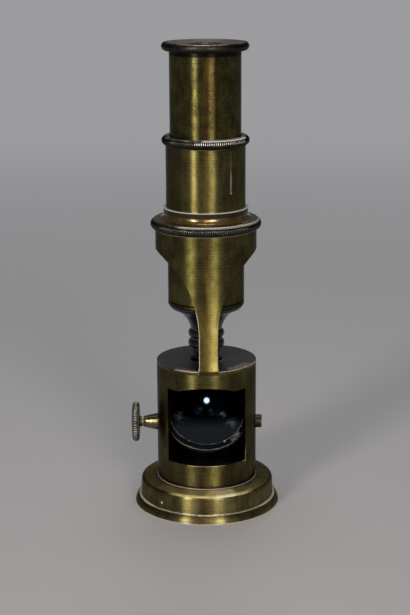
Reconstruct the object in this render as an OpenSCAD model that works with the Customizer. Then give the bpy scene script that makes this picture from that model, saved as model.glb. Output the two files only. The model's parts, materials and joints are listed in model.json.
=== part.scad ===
// Brass drum microscope of the simple French pattern.
// A weighted foot carries a drum with a tilting mirror behind its window. The drum's lid is the stage.
// A barrel cut into two arms stands on the stage and carries a collar with a slit spring sleeve.
// The body tube slides in that sleeve, and the eyepiece tube slides in the body tube.
// The origin is the centre of the foot's underside. +Z is up, and the window faces -Y.

/* [Foot] */
// Diameter of the foot where it stands
foot_d = 56.8; // [56:0.2:62]
// Height of the flange's bright upper edge
flange_h = 3.1; // [2:0.1:4.5]
// Diameter of the flange's upper edge
flange_top_d = 53.3; // [52.8:0.1:54.6]
// Swell of the flange's bevel
flange_swell = 0.42; // [0.1:0.02:0.7]
// Diameter of the upright plinth at its lower end
plinth_d = 52.3; // [50:0.1:52.5]
// How much narrower the plinth's radius is at its upper end
plinth_taper = 0.25; // [0:0.05:1]
// Size of the rounding at the plinth's upper edge
plinth_round = 1.3; // [0.6:0.05:1.8]
// Fall of the shoulder from the drum to that rounding
shoulder_fall = 0.55; // [0.3:0.05:1.2]
// Height of the foot up to the drum
foot_h = 10.8; // [9.5:0.1:14]
// Thickness of the foot's wall round the lead
foot_wall = 2.4; // [1.5:0.1:3.5]
// Depth to which the drum enters the foot
drum_sink = 3.5; // [2.5:0.1:4.5]

/* [Drum] */
// Diameter of the tube that both the drum and the barrel are cut from
tube_d = 38.7; // [38:0.1:41]
// Wall of that tube
tube_wall = 0.85; // [0.6:0.05:1.2]
// Height of the drum from the foot to the stage
drum_h = 46; // [45:0.5:56]
// Width of the window
window_w = 29.8; // [24:0.2:32]
// Height of the window at its corners
window_h = 29.4; // [24:0.2:31]
// Height of the window's sill above the foot
window_sill = 9.5; // [6:0.5:11]
// Width of the shallow arch in the window's upper edge
arch_w = 21; // [14:0.5:22]
// Rise of that arch
arch_rise = 1.9; // [1:0.1:2.6]
// Thickness of the drum's floor plate
floor_t = 1.2; // [0.8:0.1:2]

/* [Stage] */
// Thickness of the stage plate
stage_t = 1.3; // [1:0.1:2.5]
// Diameter of the hole in the stage
stage_hole_d = 12.7; // [10:0.1:15]
// Depth of the rim that centres the stage in the drum
stage_rim_h = 2; // [1.5:0.1:3]
// Thickness of that rim
stage_rim_wall = 1.8; // [1:0.1:2.5]
// Clearance all round pieces that drop into a tube
drop_in_gap = 0.03; // [0.01:0.01:0.05]

/* [Barrel and arms] */
// Height of the barrel frame from the stage to the collar
frame_h = 51.8; // [50:0.2:58]
// Height of the uncut band below the collar
band_h = 7.4; // [6:0.1:10]
// Width of each arm at its narrowest
arm_w = 7.1; // [5:0.1:10]
// Height above the stage where the arms begin to widen
arch_start = 12; // [8:0.5:20]
// Squareness of the arches between the arms
arch_power = 2.25; // [2:0.05:3]
// Widening of each side of an arm where it meets the stage
arm_flare = 0.35; // [0:0.05:0.8]
// Height of that widening
arm_flare_h = 3; // [2:0.5:5]
// Turn of the arms from the middle of the window, in degrees
frame_turn = 2.5; // [0:0.5:6]

/* [Collar] */
// Diameter over the collar's milled edge
collar_d = 42.3; // [41.9:0.1:44]
// Radius of the collar's round milled edge
collar_roll = 1.8; // [1.5:0.05:2]
// Height of the milled edge's middle above the barrel
collar_roll_h = 2.1; // [2.05:0.05:2.4]
// Diameter of the sharp edge above the milling
collar_edge_d = 40.6; // [40:0.1:41]
// Height of that sharp edge above the barrel
collar_edge_h = 3.6; // [3.5:0.05:4.2]
// Width of the ogee's bulge inside the sharp edge
ogee_w = 1.4; // [0.8:0.1:2]
// Rise of the ogee over that bulge
ogee_h = 0.6; // [0.3:0.05:1]
// Rise of the ogee's hollow up to the neck
ogee_rise = 2.3; // [1.8:0.1:3]
// Depth of the ogee's hollow
ogee_hollow = 0.8; // [0.4:0.05:1]
// Height of the whole collar
collar_h = 8.6; // [8:0.1:11]
// Wall of the collar's neck round the sleeve
neck_wall = 0.98; // [0.7:0.02:1.3]
// Height of the bright lip that ends the neck
lip_h = 0.35; // [0.2:0.05:0.8]
// How far the lip stands out from the neck
lip_out = 0.12; // [0.04:0.02:0.4]
// Depth of the plug that enters the barrel
plug_h = 2.5; // [2:0.1:4]

/* [Spring sleeve] */
// Wall of the spring sleeve
sleeve_wall = 0.44; // [0.3:0.02:0.6]
// Height of the sleeve above the collar
sleeve_rise = 23.2; // [20:0.2:30]
// Length of sleeve below the collar's plug
sleeve_drop = 2.6; // [1:0.1:4]
// Number of slits that let the sleeve spring
slit_count = 3; // [2:1:4]
// Length of each slit from the sleeve's upper end
slit_len = 16.3; // [10:0.1:20]
// Width of each slit
slit_w = 0.4; // [0.3:0.05:0.9]
// Diameter of the hole that ends each slit
slit_hole_d = 0.9; // [0.9:0.05:1.4]
// Angle of the first slit to the right of the window's middle
slit_turn = 38; // [20:1:60]

/* [Body tube] */
// Wall of the body tube
body_wall = 0.6; // [0.4:0.05:0.9]
// Running clearance all round between sliding tubes
slide_gap = 0.04; // [0.02:0.01:0.08]
// Space between the front objective and the stage with the body tube pushed home
work_gap = 1.1; // [0.5:0.1:3]
// Height of the turned line above the body tube's lower end
line_rise = 1.5; // [1:0.1:4]
// Depth of that turned line
line_depth = 0.15; // [0.05:0.05:0.25]
// Diameter over the milled ring
ring_d = 33.24; // [33:0.02:36]
// Height of the milled ring
ring_h = 3.8; // [3.6:0.1:5]
// Radius of the ring's round milled edge
ring_roll = 1.65; // [1.2:0.05:1.7]
// Wall of the ring outside the body tube
ring_wall = 0.6; // [0.5:0.02:1.1]
// Depth to which the body tube enters the ring
ring_sink = 2; // [1:0.1:2.6]
// Clearance all round between the ring and the eyepiece tube
ring_gap = 0.15; // [0.05:0.05:0.3]
// Wall of the guide lining in the body tube
guide_wall = 0.5; // [0.3:0.05:0.8]
// Length of the guide lining
guide_len = 24; // [18:1:30]

/* [Nose cone] */
// Height of the black nose cone below the body tube
nose_h = 9.95; // [8:0.05:13]
// Step between the body tube and the nose cone
nose_step = 0.2; // [0.1:0.05:0.5]
// Height of the cone's rounded rim
nose_rim_h = 1.6; // [1.2:0.1:3]
// How much the rounded rim narrows downwards
nose_rim_in = 0.95; // [0.5:0.05:1.5]
// Depth of the cone's hollow sweep
nose_sweep = 1.5; // [0.8:0.1:1.8]
// Diameter of the cone's lower end
nose_end_d = 12; // [11.6:0.1:13]
// Diameter of the light path at the cone's lower end
nose_hole_d = 5; // [4:0.2:6.4]
// Height of the plug that enters the body tube
nose_plug_h = 3.4; // [2.5:0.1:5]
// Wall of that plug
nose_plug_wall = 1.5; // [1.2:0.1:2.5]
// Thickness of the stop ring on the plug
stop_t = 0.6; // [0.4:0.1:1]
// Diameter of the hole in the stop ring
stop_hole_d = 12; // [8:0.5:18]

/* [Objective] */
// Diameter over the rolls of the objective cells
cell_d = 14.06; // [13.4:0.02:16]
// Height of the upper and middle objective cells
cell_h = 3.9; // [3.8:0.1:5]
// Diameter of the cells between their rolls
cell_waist_d = 12; // [11:0.1:12.8]
// Radius of the rolls
cell_roll = 1.75; // [1.2:0.05:1.85]
// Height of the front cell
front_h = 3.65; // [3.2:0.05:5]
// Diameter of the front cell
front_d = 10.6; // [9.5:0.1:11.5]
// Diameter of the front cell's end face
front_face_d = 7; // [5.5:0.1:8]
// Height of the front cell's tapered end
front_taper_h = 1.7; // [1:0.1:2.2]
// Diameter of the screwed spigots
spigot_d = 7.2; // [6.6:0.1:8]
// Height of the screwed spigots
spigot_h = 2; // [1.9:0.1:2.4]
// Space left above a spigot in its socket
spigot_gap = 0.2; // [0.1:0.05:0.4]
// Diameter of the objective lenses
lens_d = 5.2; // [4.4:0.1:5.6]
// Thickness of the objective lenses at their edge
lens_edge = 1.1; // [0.8:0.1:1.3]
// Height of an objective lens's dome
lens_dome = 0.45; // [0.2:0.05:0.5]
// Width of the flat rim round every lens's dome
lens_rim = 0.3; // [0.1:0.05:0.5]
// Diameter of the light path through the upper and middle cells
light_d = 4; // [3:0.1:4.2]
// Diameter of the front cell's aperture
front_light_d = 2.6; // [2:0.1:3.4]

/* [Eyepiece] */
// Diameter of the eyepiece tube
eyepiece_d = 27; // [26.5:0.1:28]
// Wall of the eyepiece tube
eyepiece_wall = 0.5; // [0.4:0.05:0.8]
// How far the eyepiece tube is drawn out
draw_out = 31.4; // [10:0.2:31.4]
// Length of the eyepiece tube
eyepiece_len = 60; // [54:0.5:60]
// Diameter of the eyepiece cap at its widest
cap_d = 32.8; // [31:0.1:36]
// Height of the eyepiece cap
cap_h = 3.1; // [2.8:0.1:4.5]
// Height of the cap's widest line above its underside
cap_belt_h = 1.7; // [1.2:0.1:2]
// How much narrower the cap's radius is at its underside
cap_under_in = 1.2; // [0.6:0.1:1.6]
// How much narrower the cap's radius is at its flat rim
cap_top_in = 0.8; // [0.4:0.1:1.4]
// Width of the flat rim round the cap's dish
cap_rim = 1.6; // [1:0.1:3]
// Depth of the dish in the cap
cap_dish = 0.7; // [0.3:0.1:1]
// Diameter of the eye hole
eye_hole_d = 7; // [5:0.2:9]
// Length of the cap's screwed spigot
cap_spigot_h = 5; // [4:0.2:7]
// Wall of that spigot
cap_spigot_wall = 1; // [0.6:0.1:1.5]
// Thickness of the cap over the eye lens
cap_web = 1.4; // [1.2:0.1:1.6]
// Wall of the boss round the eye lens
cap_boss_wall = 1.2; // [0.8:0.1:1.6]
// Diameter of the eye lens
eye_lens_d = 13; // [11:0.2:16]
// Thickness of the eye lens at its edge
eye_lens_edge = 1.8; // [1.2:0.1:2.2]
// Height of the eye lens's dome
eye_lens_dome = 1; // [0.5:0.1:1.2]
// Wall of the ring that retains the eye lens
eye_ring_wall = 0.9; // [0.6:0.1:1.4]
// Height of that ring
eye_ring_h = 1.2; // [0.8:0.1:1.6]
// Distance of the field stop below the cap
stop_depth = 15; // [12:0.5:20]
// Thickness of the field stop
field_stop_t = 0.8; // [0.5:0.1:1.2]
// Diameter of the field stop's hole
field_stop_d = 14; // [10:0.5:18]
// Distance of the field lens cell below the cap
field_depth = 33; // [30:0.5:40]
// Wall of the field lens cell
field_cell_wall = 0.8; // [0.6:0.1:1.2]
// Height of the field lens cell
field_cell_h = 6.4; // [6:0.1:9]
// Width of the ledge and of the ring that hold the field lens
field_hold = 0.8; // [0.5:0.1:1.5]
// Thickness of that ledge and of that ring
field_ring_h = 1; // [0.8:0.1:1.4]
// Thickness of the field lens at its edge
field_lens_edge = 2; // [1.5:0.1:2.4]
// Height of the field lens's dome
field_lens_dome = 2.2; // [1:0.1:2.4]

/* [Mirror] */
// Height of the mirror's rod above the foot
mirror_rise = 21.4; // [20:0.2:23]
// Tilt of the mirror towards the window, in degrees
mirror_tilt = 38; // [0:1:60]
// Diameter of the glass that shows inside the bezel
mirror_d = 28.8; // [26:0.2:29.2]
// Height of the mirror's face above its rod
mirror_lift = 5.5; // [5.3:0.1:6]
// Thickness of the mirror glass
mirror_t = 1.8; // [1.4:0.1:2.2]
// Width of the bezel outside the glass that shows
bezel_w = 1.8; // [1.4:0.1:2.1]
// How far the bezel reaches over the glass
bezel_hold = 0.5; // [0.3:0.1:0.7]
// Thickness of the bezel over the glass
bezel_lip = 0.3; // [0.2:0.05:0.5]
// Width of the bezel's flat inner edge
bezel_flat = 0.6; // [0.3:0.1:0.9]
// Fall of the bezel's bevel to its outer edge
bezel_fall = 1; // [0.5:0.1:1.1]
// Depth to which the bezel reaches down round the glass
bezel_depth = 1.2; // [1:0.1:1.3]
// Thickness of the mirror cell's back
cell_back = 1.2; // [0.8:0.1:1.6]
// Thickness of the lugs under the cell
lug_t = 2.4; // [1.5:0.1:4]
// Width of the lugs
lug_w = 6; // [5.4:0.2:8]
// Distance of each lug from the middle
lug_x = 9; // [6:0.5:11]
// Diameter of the trunnions that keep the cell in the middle of the drum
trunnion_d = 4.8; // [4.4:0.2:5.2]
// Side play between each trunnion and its bearing
side_play = 0.2; // [0.1:0.05:0.4]

/* [Knob and bearings] */
// Diameter of the mirror's rod
rod_d = 3; // [2.4:0.1:3.2]
// Running clearance all round the rod
rod_gap = 0.05; // [0.02:0.01:0.08]
// Length of the knob's conical bearing outside the drum
bearing_len = 5.4; // [4.6:0.1:8]
// Diameter of that bearing at the drum
bearing_d = 6.64; // [6:0.02:8]
// Diameter of that bearing at the knob
bearing_end_d = 4.2; // [4:0.1:5.6]
// Length of the pivot bearing outside the drum
pivot_len = 2.35; // [1.6:0.05:4]
// Diameter of the pivot bearing
pivot_d = 5.2; // [5:0.1:7]
// Bevel round the pivot bearing's end
pivot_bevel = 0.3; // [0.1:0.05:0.5]
// Diameter of the bearings where they pass the drum's wall
bearing_neck_d = 4.6; // [4.2:0.1:5]
// Length of the bearings inside the drum's wall
bearing_in = 0.6; // [0.3:0.05:0.7]
// Space between the knob and its bearing
knob_gap = 0.3; // [0.2:0.05:0.6]
// Diameter of the knob
knob_d = 15.6; // [13:0.2:20]
// Thickness of the knob's rim
knob_rim = 2.6; // [2.2:0.1:4]
// Swell of the knob's rounded edge
knob_round = 0.8; // [0.5:0.05:1.1]
// How far the knob's face stands out in its middle
knob_swell = 0.5; // [0.2:0.05:1]
// Diameter of the knob's hub
hub_d = 4; // [3.8:0.1:5]
// Length of the knob's hub
hub_len = 1.5; // [0.8:0.05:2]
// Depth of the rod in the knob
knob_hold = 3.2; // [2:0.1:3.4]

/* [Milling] */
// Distance from groove to groove along a milled edge
mill_pitch = 1; // [0.9:0.05:1.6]
// Depth of the grooves
mill_depth = 0.3; // [0.1:0.02:0.36]

/* [Hidden] */
$fn = 96;
over = 1;

lacquered_brass = [0.62, 0.52, 0.24];
milled_brass = [0.45, 0.41, 0.30];
worn_brass = [0.75, 0.64, 0.35];
black_paint = [0.10, 0.10, 0.11];
dark_bronze = [0.24, 0.20, 0.16];
lead_grey = [0.42, 0.43, 0.45];
lens_glass = [0.80, 0.88, 0.90, 0.5];
mirror_silver = [0.70, 0.74, 0.78];

// Heights, from the table upwards
lead_top = foot_h - drum_sink;
sill_z = foot_h + window_sill;
rod_z = foot_h + mirror_rise;
drum_top = foot_h + drum_h;
stage_z = drum_top + stage_t;
front_z = stage_z + work_gap;
middle_z = front_z + front_h;
upper_z = middle_z + cell_h;
nose_z = upper_z + cell_h;
body_z = nose_z + nose_h;
barrel_top = stage_z + frame_h;
arch_z = stage_z + arch_start;
arch_top = barrel_top - band_h;
collar_top = barrel_top + collar_h;
sleeve_z = barrel_top - plug_h - sleeve_drop;
sleeve_top = collar_top + sleeve_rise;
body_top = sleeve_top + ring_sink;
ring_top = sleeve_top + ring_h;
cap_z = ring_top + draw_out;
cap_top = cap_z + cap_h;
eye_lens_z = cap_top - cap_dish - cap_web;
eye_ring_z = eye_lens_z - eye_lens_edge - eye_ring_h;
field_z = cap_z - field_depth - field_cell_h;
field_lens_z = field_z + field_cell_h - field_ring_h;

// Radii, from the eyepiece tube outwards
eyepiece_r = eyepiece_d / 2;
eyepiece_bore = eyepiece_r - eyepiece_wall;
guide_bore = eyepiece_r + slide_gap;
body_bore = guide_bore + guide_wall;
body_r = body_bore + body_wall;
sleeve_bore = body_r + slide_gap;
sleeve_r = sleeve_bore + sleeve_wall;
neck_r = sleeve_r + neck_wall;
tube_r = tube_d / 2;
tube_bore = tube_r - tube_wall;
plinth_r = plinth_d / 2;
lead_r = plinth_r - plinth_taper - foot_wall;
cap_r = cap_d / 2;
eye_lens_r = eye_lens_d / 2;
field_bore = eyepiece_bore - field_cell_wall;
field_hole = field_bore - field_hold;
spigot_r = spigot_d / 2;
lens_r = lens_d / 2;

// Height of an objective lens's seat above the foot of its cell's spigot
lens_seat = spigot_h - lens_edge - lens_dome;

// The mirror, measured from its rod along the line square to its face
glass_r = mirror_d / 2 + bezel_hold;
cell_bore = glass_r + drop_in_gap;
mirror_r = mirror_d / 2 + bezel_w;
cell_floor = mirror_lift - mirror_t;
cell_rim = mirror_lift - bezel_depth;

// Distances along the mirror's rod, from the drum's axis outwards
bearing_inner = tube_bore - bearing_in;
trunnion_end = bearing_inner - side_play;
knob_x = tube_r + bearing_len + knob_gap;
rod_r = rod_d / 2;
rod_hole = rod_r + rod_gap;

// Half the angle that an arm takes up round the barrel, where it is narrowest and where it meets the stage
arm_turn = asin(arm_w / 2 / tube_r);
flare_turn = asin((arm_w / 2 + arm_flare) / tube_r) - arm_turn;

// Points of a curve from p up to q, without q, that swells by rise to the right of the way from p to q
function bow(p, q, rise, steps = 8) =
    let (way = q - p, side = [way[1], -way[0]] / norm(way))
    [for (i = [0:steps - 1]) let (t = i / steps) p + way * t + side * rise * 4 * t * (1 - t)];

// A tube from height z upwards
module tube(r, bore, z, h) {
    translate([0, 0, z]) difference() {
        cylinder(r = r, h = h);
        translate([0, 0, -over]) cylinder(r = bore, h = h + 2 * over);
    }
}

// A half-round roll of radius roll that reaches out to r, for turning about the Z axis
module roll_outline(r, roll, z) {
    translate([r - roll, z]) intersection() {
        circle(r = roll);
        translate([0, -roll]) square([roll, 2 * roll]);
    }
}

// The grooves of a milled edge of radius r, along the axis over the height from z
module milling(r, z, h) {
    count = round(2 * PI * r / mill_pitch);
    groove_r = mill_pitch * 0.38;
    for (i = [0:count - 1])
        rotate([0, 0, i * 360 / count])
            translate([r - mill_depth + groove_r, 0, z])
                cylinder(r = groove_r, h = h, $fn = 24);
}

// A lens with its flat face at height z. Its dome points up for side 1 and down for side -1.
module lens(r, rim, edge, dome, z, side) {
    dome_r = r - rim;
    ball = (dome_r * dome_r + dome * dome) / (2 * dome);
    translate([0, 0, z]) rotate([side > 0 ? 0 : 180, 0, 0]) {
        cylinder(r = r, h = edge);
        translate([0, 0, edge]) intersection() {
            cylinder(r = r, h = dome + over);
            translate([0, 0, dome - ball]) sphere(r = ball);
        }
    }
}

// Lays a turned piece along the mirror's rod, with its height running out to the left or to the right
module along_rod(side) {
    translate([0, 0, rod_z]) rotate([0, side * 90, 0]) children();
}

// The mirror's own place: the rod passes through its origin, and its Z axis is square to the glass
module on_mirror() {
    translate([0, 0, rod_z]) rotate([mirror_tilt, 0, 0]) children();
}

module foot() {
    top_r = plinth_r - plinth_taper;
    round_z = foot_h - shoulder_fall - plinth_round;
    shoulder = [top_r - plinth_round, round_z + plinth_round];
    color(lacquered_brass) rotate_extrude() polygon(concat(
        [[lead_r, 0]],
        bow([foot_d / 2, 0], [flange_top_d / 2, flange_h], flange_swell),
        [[flange_top_d / 2, flange_h], [plinth_r, flange_h]],
        bow([top_r, round_z], shoulder, plinth_round * 0.28),
        [shoulder, [tube_r, foot_h], [tube_r, lead_top], [lead_r, lead_top]]
    ));
}

module lead_ballast() {
    color(lead_grey) cylinder(r = lead_r, h = lead_top);
}

module floor_plate() {
    color(black_paint) translate([0, 0, lead_top]) cylinder(r = tube_bore - drop_in_gap, h = floor_t);
}

// The window seen from the front, with its shallow arch
module window_outline() {
    arch_r = (arch_w * arch_w / 4 + arch_rise * arch_rise) / (2 * arch_rise);
    corner_z = sill_z + window_h;
    translate([-window_w / 2, sill_z]) square([window_w, window_h]);
    intersection() {
        translate([-window_w / 2, corner_z - arch_rise / 2]) square([window_w, 2 * arch_rise]);
        translate([0, corner_z + arch_rise - arch_r]) circle(r = arch_r);
    }
}

// The tube's brazed seam lies at the back, away from the window and the bearings
module drum_shell() {
    color(lacquered_brass) difference() {
        rotate([0, 0, 90]) tube(tube_r, tube_bore, lead_top, drum_top - lead_top);
        rotate([90, 0, 0]) linear_extrude(height = tube_r + over) window_outline();
        for (side = [-1, 1])
            along_rod(side) cylinder(d = bearing_neck_d, h = tube_r + over);
    }
}

// The notches in the stage through which the arms' feet reach down to the drum
module arm_notches() {
    reach = 2 * tube_r;
    half_w = reach * tan(arm_turn + flare_turn);
    difference() {
        translate([0, 0, drum_top - over]) linear_extrude(height = stage_t + 2 * over)
            for (side = [-1, 1])
                polygon([[0, 0], [side * half_w, side * reach], [-side * half_w, side * reach]]);
        translate([0, 0, drum_top - 2 * over]) cylinder(r = tube_bore, h = stage_t + 4 * over);
    }
}

module stage_plate() {
    rim_r = tube_bore - drop_in_gap;
    color(black_paint) difference() {
        union() {
            translate([0, 0, drum_top]) cylinder(r = tube_r, h = stage_t);
            tube(rim_r, rim_r - stage_rim_wall, drum_top - stage_rim_h, stage_rim_h + stage_t / 2);
        }
        translate([0, 0, drum_top - over]) cylinder(d = stage_hole_d, h = stage_t + 2 * over);
        rotate([0, 0, frame_turn]) arm_notches();
    }
}

// The space between the arms on one side of the barrel, whose walls point at the barrel's axis
module arm_gap() {
    arch_steps = 16;
    flare_steps = 4;
    inner = tube_r * 0.6;
    outer = tube_r * 2;
    far = tube_r * 3;
    flares = [for (i = [0:flare_steps]) let (t = i / flare_steps)
        [stage_z + arm_flare_h * t, arm_turn + flare_turn * (1 - t) * (1 - t)]];
    arches = [for (i = [0:arch_steps])
        let (a = 90 * i / arch_steps, up = pow(sin(a), 2 / arch_power), out = pow(cos(a), 2 / arch_power))
        [arch_z + (arch_top - arch_z) * up, min(90 - (90 - arm_turn) * out, 89)]];
    levels = concat([[drum_top - over, arm_turn + flare_turn]], flares, arches);
    points = [for (level = levels, side = [1, -1], r = side > 0 ? [inner, outer, far] : [far, outer, inner])
        [r == far ? far : r * sin(level[1]), side * min(r, outer) * cos(level[1]), level[0]]];
    last = len(levels) - 1;
    walls = [for (i = [0:last - 1], j = [0:5])
        let (a = 6 * i + j, b = 6 * i + (j + 1) % 6)
        each [[a, b, a + 6], [b, b + 6, a + 6]]];
    polyhedron(points, concat([[5, 4, 3, 2, 1, 0]], walls, [[for (j = [0:5]) 6 * last + j]]));
}

module barrel_frame() {
    color(worn_brass) rotate([0, 0, frame_turn]) difference() {
        tube(tube_r, tube_bore, drum_top, barrel_top - drum_top);
        arm_gap();
        mirror([1, 0, 0]) arm_gap();
    }
}

module slide_collar() {
    edge_r = collar_edge_d / 2;
    bulge = [edge_r - ogee_w, collar_edge_h + ogee_h];
    hollow = [neck_r, collar_edge_h + ogee_h + ogee_rise];
    color(milled_brass) translate([0, 0, barrel_top]) difference() {
        rotate_extrude() {
            polygon(concat(
                [[sleeve_r, -plug_h], [tube_bore, -plug_h], [tube_bore, 0], [tube_r, 0]],
                [[tube_r, collar_roll_h], [edge_r, collar_roll_h]],
                bow([edge_r, collar_edge_h], bulge, 0.1),
                bow(bulge, hollow, -ogee_hollow),
                [hollow, [neck_r, collar_h - lip_h], [neck_r + lip_out, collar_h - lip_h]],
                [[neck_r + lip_out, collar_h], [sleeve_r, collar_h]]
            ));
            roll_outline(collar_d / 2, collar_roll, collar_roll_h);
        }
        milling(collar_d / 2, collar_roll_h - collar_roll, 2 * collar_roll);
    }
}

module spring_sleeve() {
    slit_z = sleeve_top - slit_len;
    color(lacquered_brass) difference() {
        tube(sleeve_r, sleeve_bore, sleeve_z, sleeve_top - sleeve_z);
        for (i = [0:slit_count - 1])
            rotate([0, 0, slit_turn + i * 360 / slit_count]) {
                translate([-slit_w / 2, -sleeve_r - over, slit_z])
                    cube([slit_w, sleeve_r + over, slit_len + over]);
                translate([0, 0, slit_z]) rotate([90, 0, 0]) cylinder(d = slit_hole_d, h = sleeve_r + over);
            }
    }
}

// A bearing that passes the drum's wall, with its outside turned to the outline drawn by children
module bearing(side, length) {
    difference() {
        union() {
            difference() {
                along_rod(side) rotate_extrude() children();
                translate([0, 0, lead_top]) cylinder(r = tube_r, h = drum_h);
            }
            along_rod(side) translate([0, 0, bearing_inner])
                cylinder(d = bearing_neck_d, h = tube_r - bearing_inner);
        }
        along_rod(side) cylinder(r = rod_hole, h = tube_r + length + over);
    }
}

module knob_bearing() {
    end_x = tube_r + bearing_len;
    color(milled_brass) bearing(-1, bearing_len)
        polygon([[0, tube_bore], [bearing_d / 2, tube_bore], [bearing_d / 2, tube_r],
            [bearing_end_d / 2, end_x], [0, end_x]]);
}

module pivot_bearing() {
    end_x = tube_r + pivot_len;
    pivot_r = pivot_d / 2;
    color(milled_brass) bearing(1, pivot_len)
        polygon([[0, tube_bore], [pivot_r, tube_bore], [pivot_r, end_x - pivot_bevel],
            [pivot_r - pivot_bevel, end_x], [0, end_x]]);
}

module mirror_rod() {
    color(milled_brass) along_rod(-1) translate([0, 0, -tube_r - pivot_len])
        cylinder(r = rod_r, h = tube_r + pivot_len + knob_x + knob_hold);
}

module mirror_knob() {
    rim_r = knob_d / 2 - knob_round;
    rim_x = hub_len;
    face_x = hub_len + knob_rim;
    color(milled_brass) along_rod(-1) translate([0, 0, knob_x]) difference() {
        rotate_extrude() polygon(concat(
            [[rod_r, 0], [hub_d / 2, 0], [hub_d / 2, hub_len * 0.9]],
            bow([rim_r, rim_x], [rim_r, face_x], knob_round),
            bow([rim_r, face_x], [0, face_x + knob_swell], knob_swell * 0.15),
            [[0, face_x + knob_swell], [0, knob_hold], [rod_r, knob_hold]]
        ));
        milling(knob_d / 2, 0, face_x + knob_swell);
    }
}

module mirror_cell() {
    lug_r = lug_w / 2;
    color(dark_bronze) on_mirror() difference() {
        union() {
            translate([0, 0, cell_floor - cell_back])
                cylinder(r = mirror_r, h = cell_rim - cell_floor + cell_back);
            for (side = [-1, 1])
                translate([side * lug_x - lug_t / 2, 0, 0])
                    rotate([90, 0, 90]) linear_extrude(height = lug_t) {
                        circle(r = lug_r);
                        translate([-lug_r, 0]) square([lug_w, cell_floor - cell_back / 2]);
                    }
            for (side = [-1, 1])
                rotate([0, side * 90, 0]) translate([0, 0, lug_x])
                    cylinder(d = trunnion_d, h = trunnion_end - lug_x);
        }
        translate([0, 0, cell_floor]) cylinder(r = cell_bore, h = mirror_lift);
        rotate([0, 90, 0]) cylinder(r = rod_r, h = 4 * mirror_r, center = true);
    }
}

module mirror_glass() {
    color(mirror_silver) on_mirror() translate([0, 0, cell_floor]) cylinder(r = glass_r, h = mirror_t);
}

module mirror_bezel() {
    top = mirror_lift + bezel_lip;
    color(black_paint) on_mirror() rotate_extrude() polygon([
        [mirror_d / 2, mirror_lift], [cell_bore, mirror_lift], [cell_bore, cell_rim], [mirror_r, cell_rim],
        [mirror_r, top - bezel_fall], [mirror_d / 2 + bezel_flat, top], [mirror_d / 2, top]
    ]);
}

module body_tube() {
    line_r = 2 * line_depth;
    color(lacquered_brass) difference() {
        tube(body_r, body_bore, body_z, body_top - body_z);
        rotate_extrude() translate([body_r + line_r - line_depth, body_z + line_rise]) circle(r = line_r);
    }
}

module body_ring() {
    bore = eyepiece_r + ring_gap;
    edge_r = body_r + ring_wall;
    color(milled_brass) translate([0, 0, sleeve_top]) difference() {
        rotate_extrude() {
            polygon([[body_r, 0], [edge_r, 0], [edge_r, ring_h], [bore, ring_h], [bore, ring_sink],
                [body_r, ring_sink]]);
            intersection() {
                roll_outline(ring_d / 2, ring_roll, ring_h - ring_roll - 0.1);
                translate([body_r, 0]) square([ring_d, ring_h]);
            }
        }
        milling(ring_d / 2, 0, ring_h);
    }
}

module guide_lining() {
    color(dark_bronze) tube(body_bore, guide_bore, body_top - guide_len, guide_len);
}

module nose_cone() {
    plug_bore = body_bore - nose_plug_wall;
    rim_r = body_r - nose_step;
    rim = [rim_r - nose_rim_in, nose_h - nose_rim_h];
    plug_top = nose_h + nose_plug_h;
    socket_h = spigot_h + spigot_gap;
    web_top = socket_h + nose_plug_wall;
    color(black_paint) translate([0, 0, nose_z]) rotate_extrude() polygon(concat(
        [[spigot_r, 0]],
        bow([nose_end_d / 2, 0], rim, -nose_sweep, 16),
        bow(rim, [rim_r, nose_h], 0.2),
        [[rim_r, nose_h], [body_bore, nose_h], [body_bore, plug_top], [plug_bore, plug_top]],
        [[plug_bore, nose_h], [spigot_r, web_top], [nose_hole_d / 2, web_top]],
        [[nose_hole_d / 2, socket_h], [spigot_r, socket_h]]
    ));
}

module stop_ring() {
    color(black_paint) tube(body_bore, stop_hole_d / 2, body_z + nose_plug_h, stop_t);
}

// The inside of an objective cell of height h: the socket below, the light path, and the lens's place on top
module cell_hollow(h, hole_d, socket_h) {
    translate([0, 0, -over]) cylinder(r = spigot_r, h = socket_h + over);
    translate([0, 0, -over]) cylinder(d = hole_d, h = h + spigot_h + 2 * over);
    translate([0, 0, h + lens_seat]) cylinder(r = lens_r, h = spigot_h + over);
}

// A screwed objective cell with a rounded edge, standing on height z
module rolled_cell(z) {
    socket_h = spigot_h + spigot_gap;
    translate([0, 0, z]) difference() {
        union() {
            cylinder(d = cell_waist_d, h = cell_h);
            rotate_extrude() roll_outline(cell_d / 2, cell_roll, cell_h / 2);
            cylinder(r = spigot_r, h = cell_h + spigot_h);
        }
        cell_hollow(cell_h, light_d, socket_h);
    }
}

module cell_lens(z) {
    color(lens_glass) lens(lens_r, lens_rim, lens_edge, lens_dome, z + lens_seat, 1);
}

module upper_cell() {
    color(black_paint) rolled_cell(upper_z);
}

module middle_cell() {
    color(black_paint) rolled_cell(middle_z);
}

module front_cell() {
    color(black_paint) translate([0, 0, front_z]) difference() {
        union() {
            cylinder(d1 = front_face_d, d2 = front_d, h = front_taper_h);
            translate([0, 0, front_taper_h]) cylinder(d = front_d, h = front_h - front_taper_h);
            cylinder(r = spigot_r, h = front_h + spigot_h);
        }
        cell_hollow(front_h, front_light_d, 0);
    }
}

module upper_lens() {
    cell_lens(nose_z);
}

module middle_lens() {
    cell_lens(upper_z);
}

module front_lens() {
    cell_lens(middle_z);
}

module eyepiece_tube() {
    color(lacquered_brass) tube(eyepiece_r, eyepiece_bore, cap_z - eyepiece_len, eyepiece_len);
}

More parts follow.
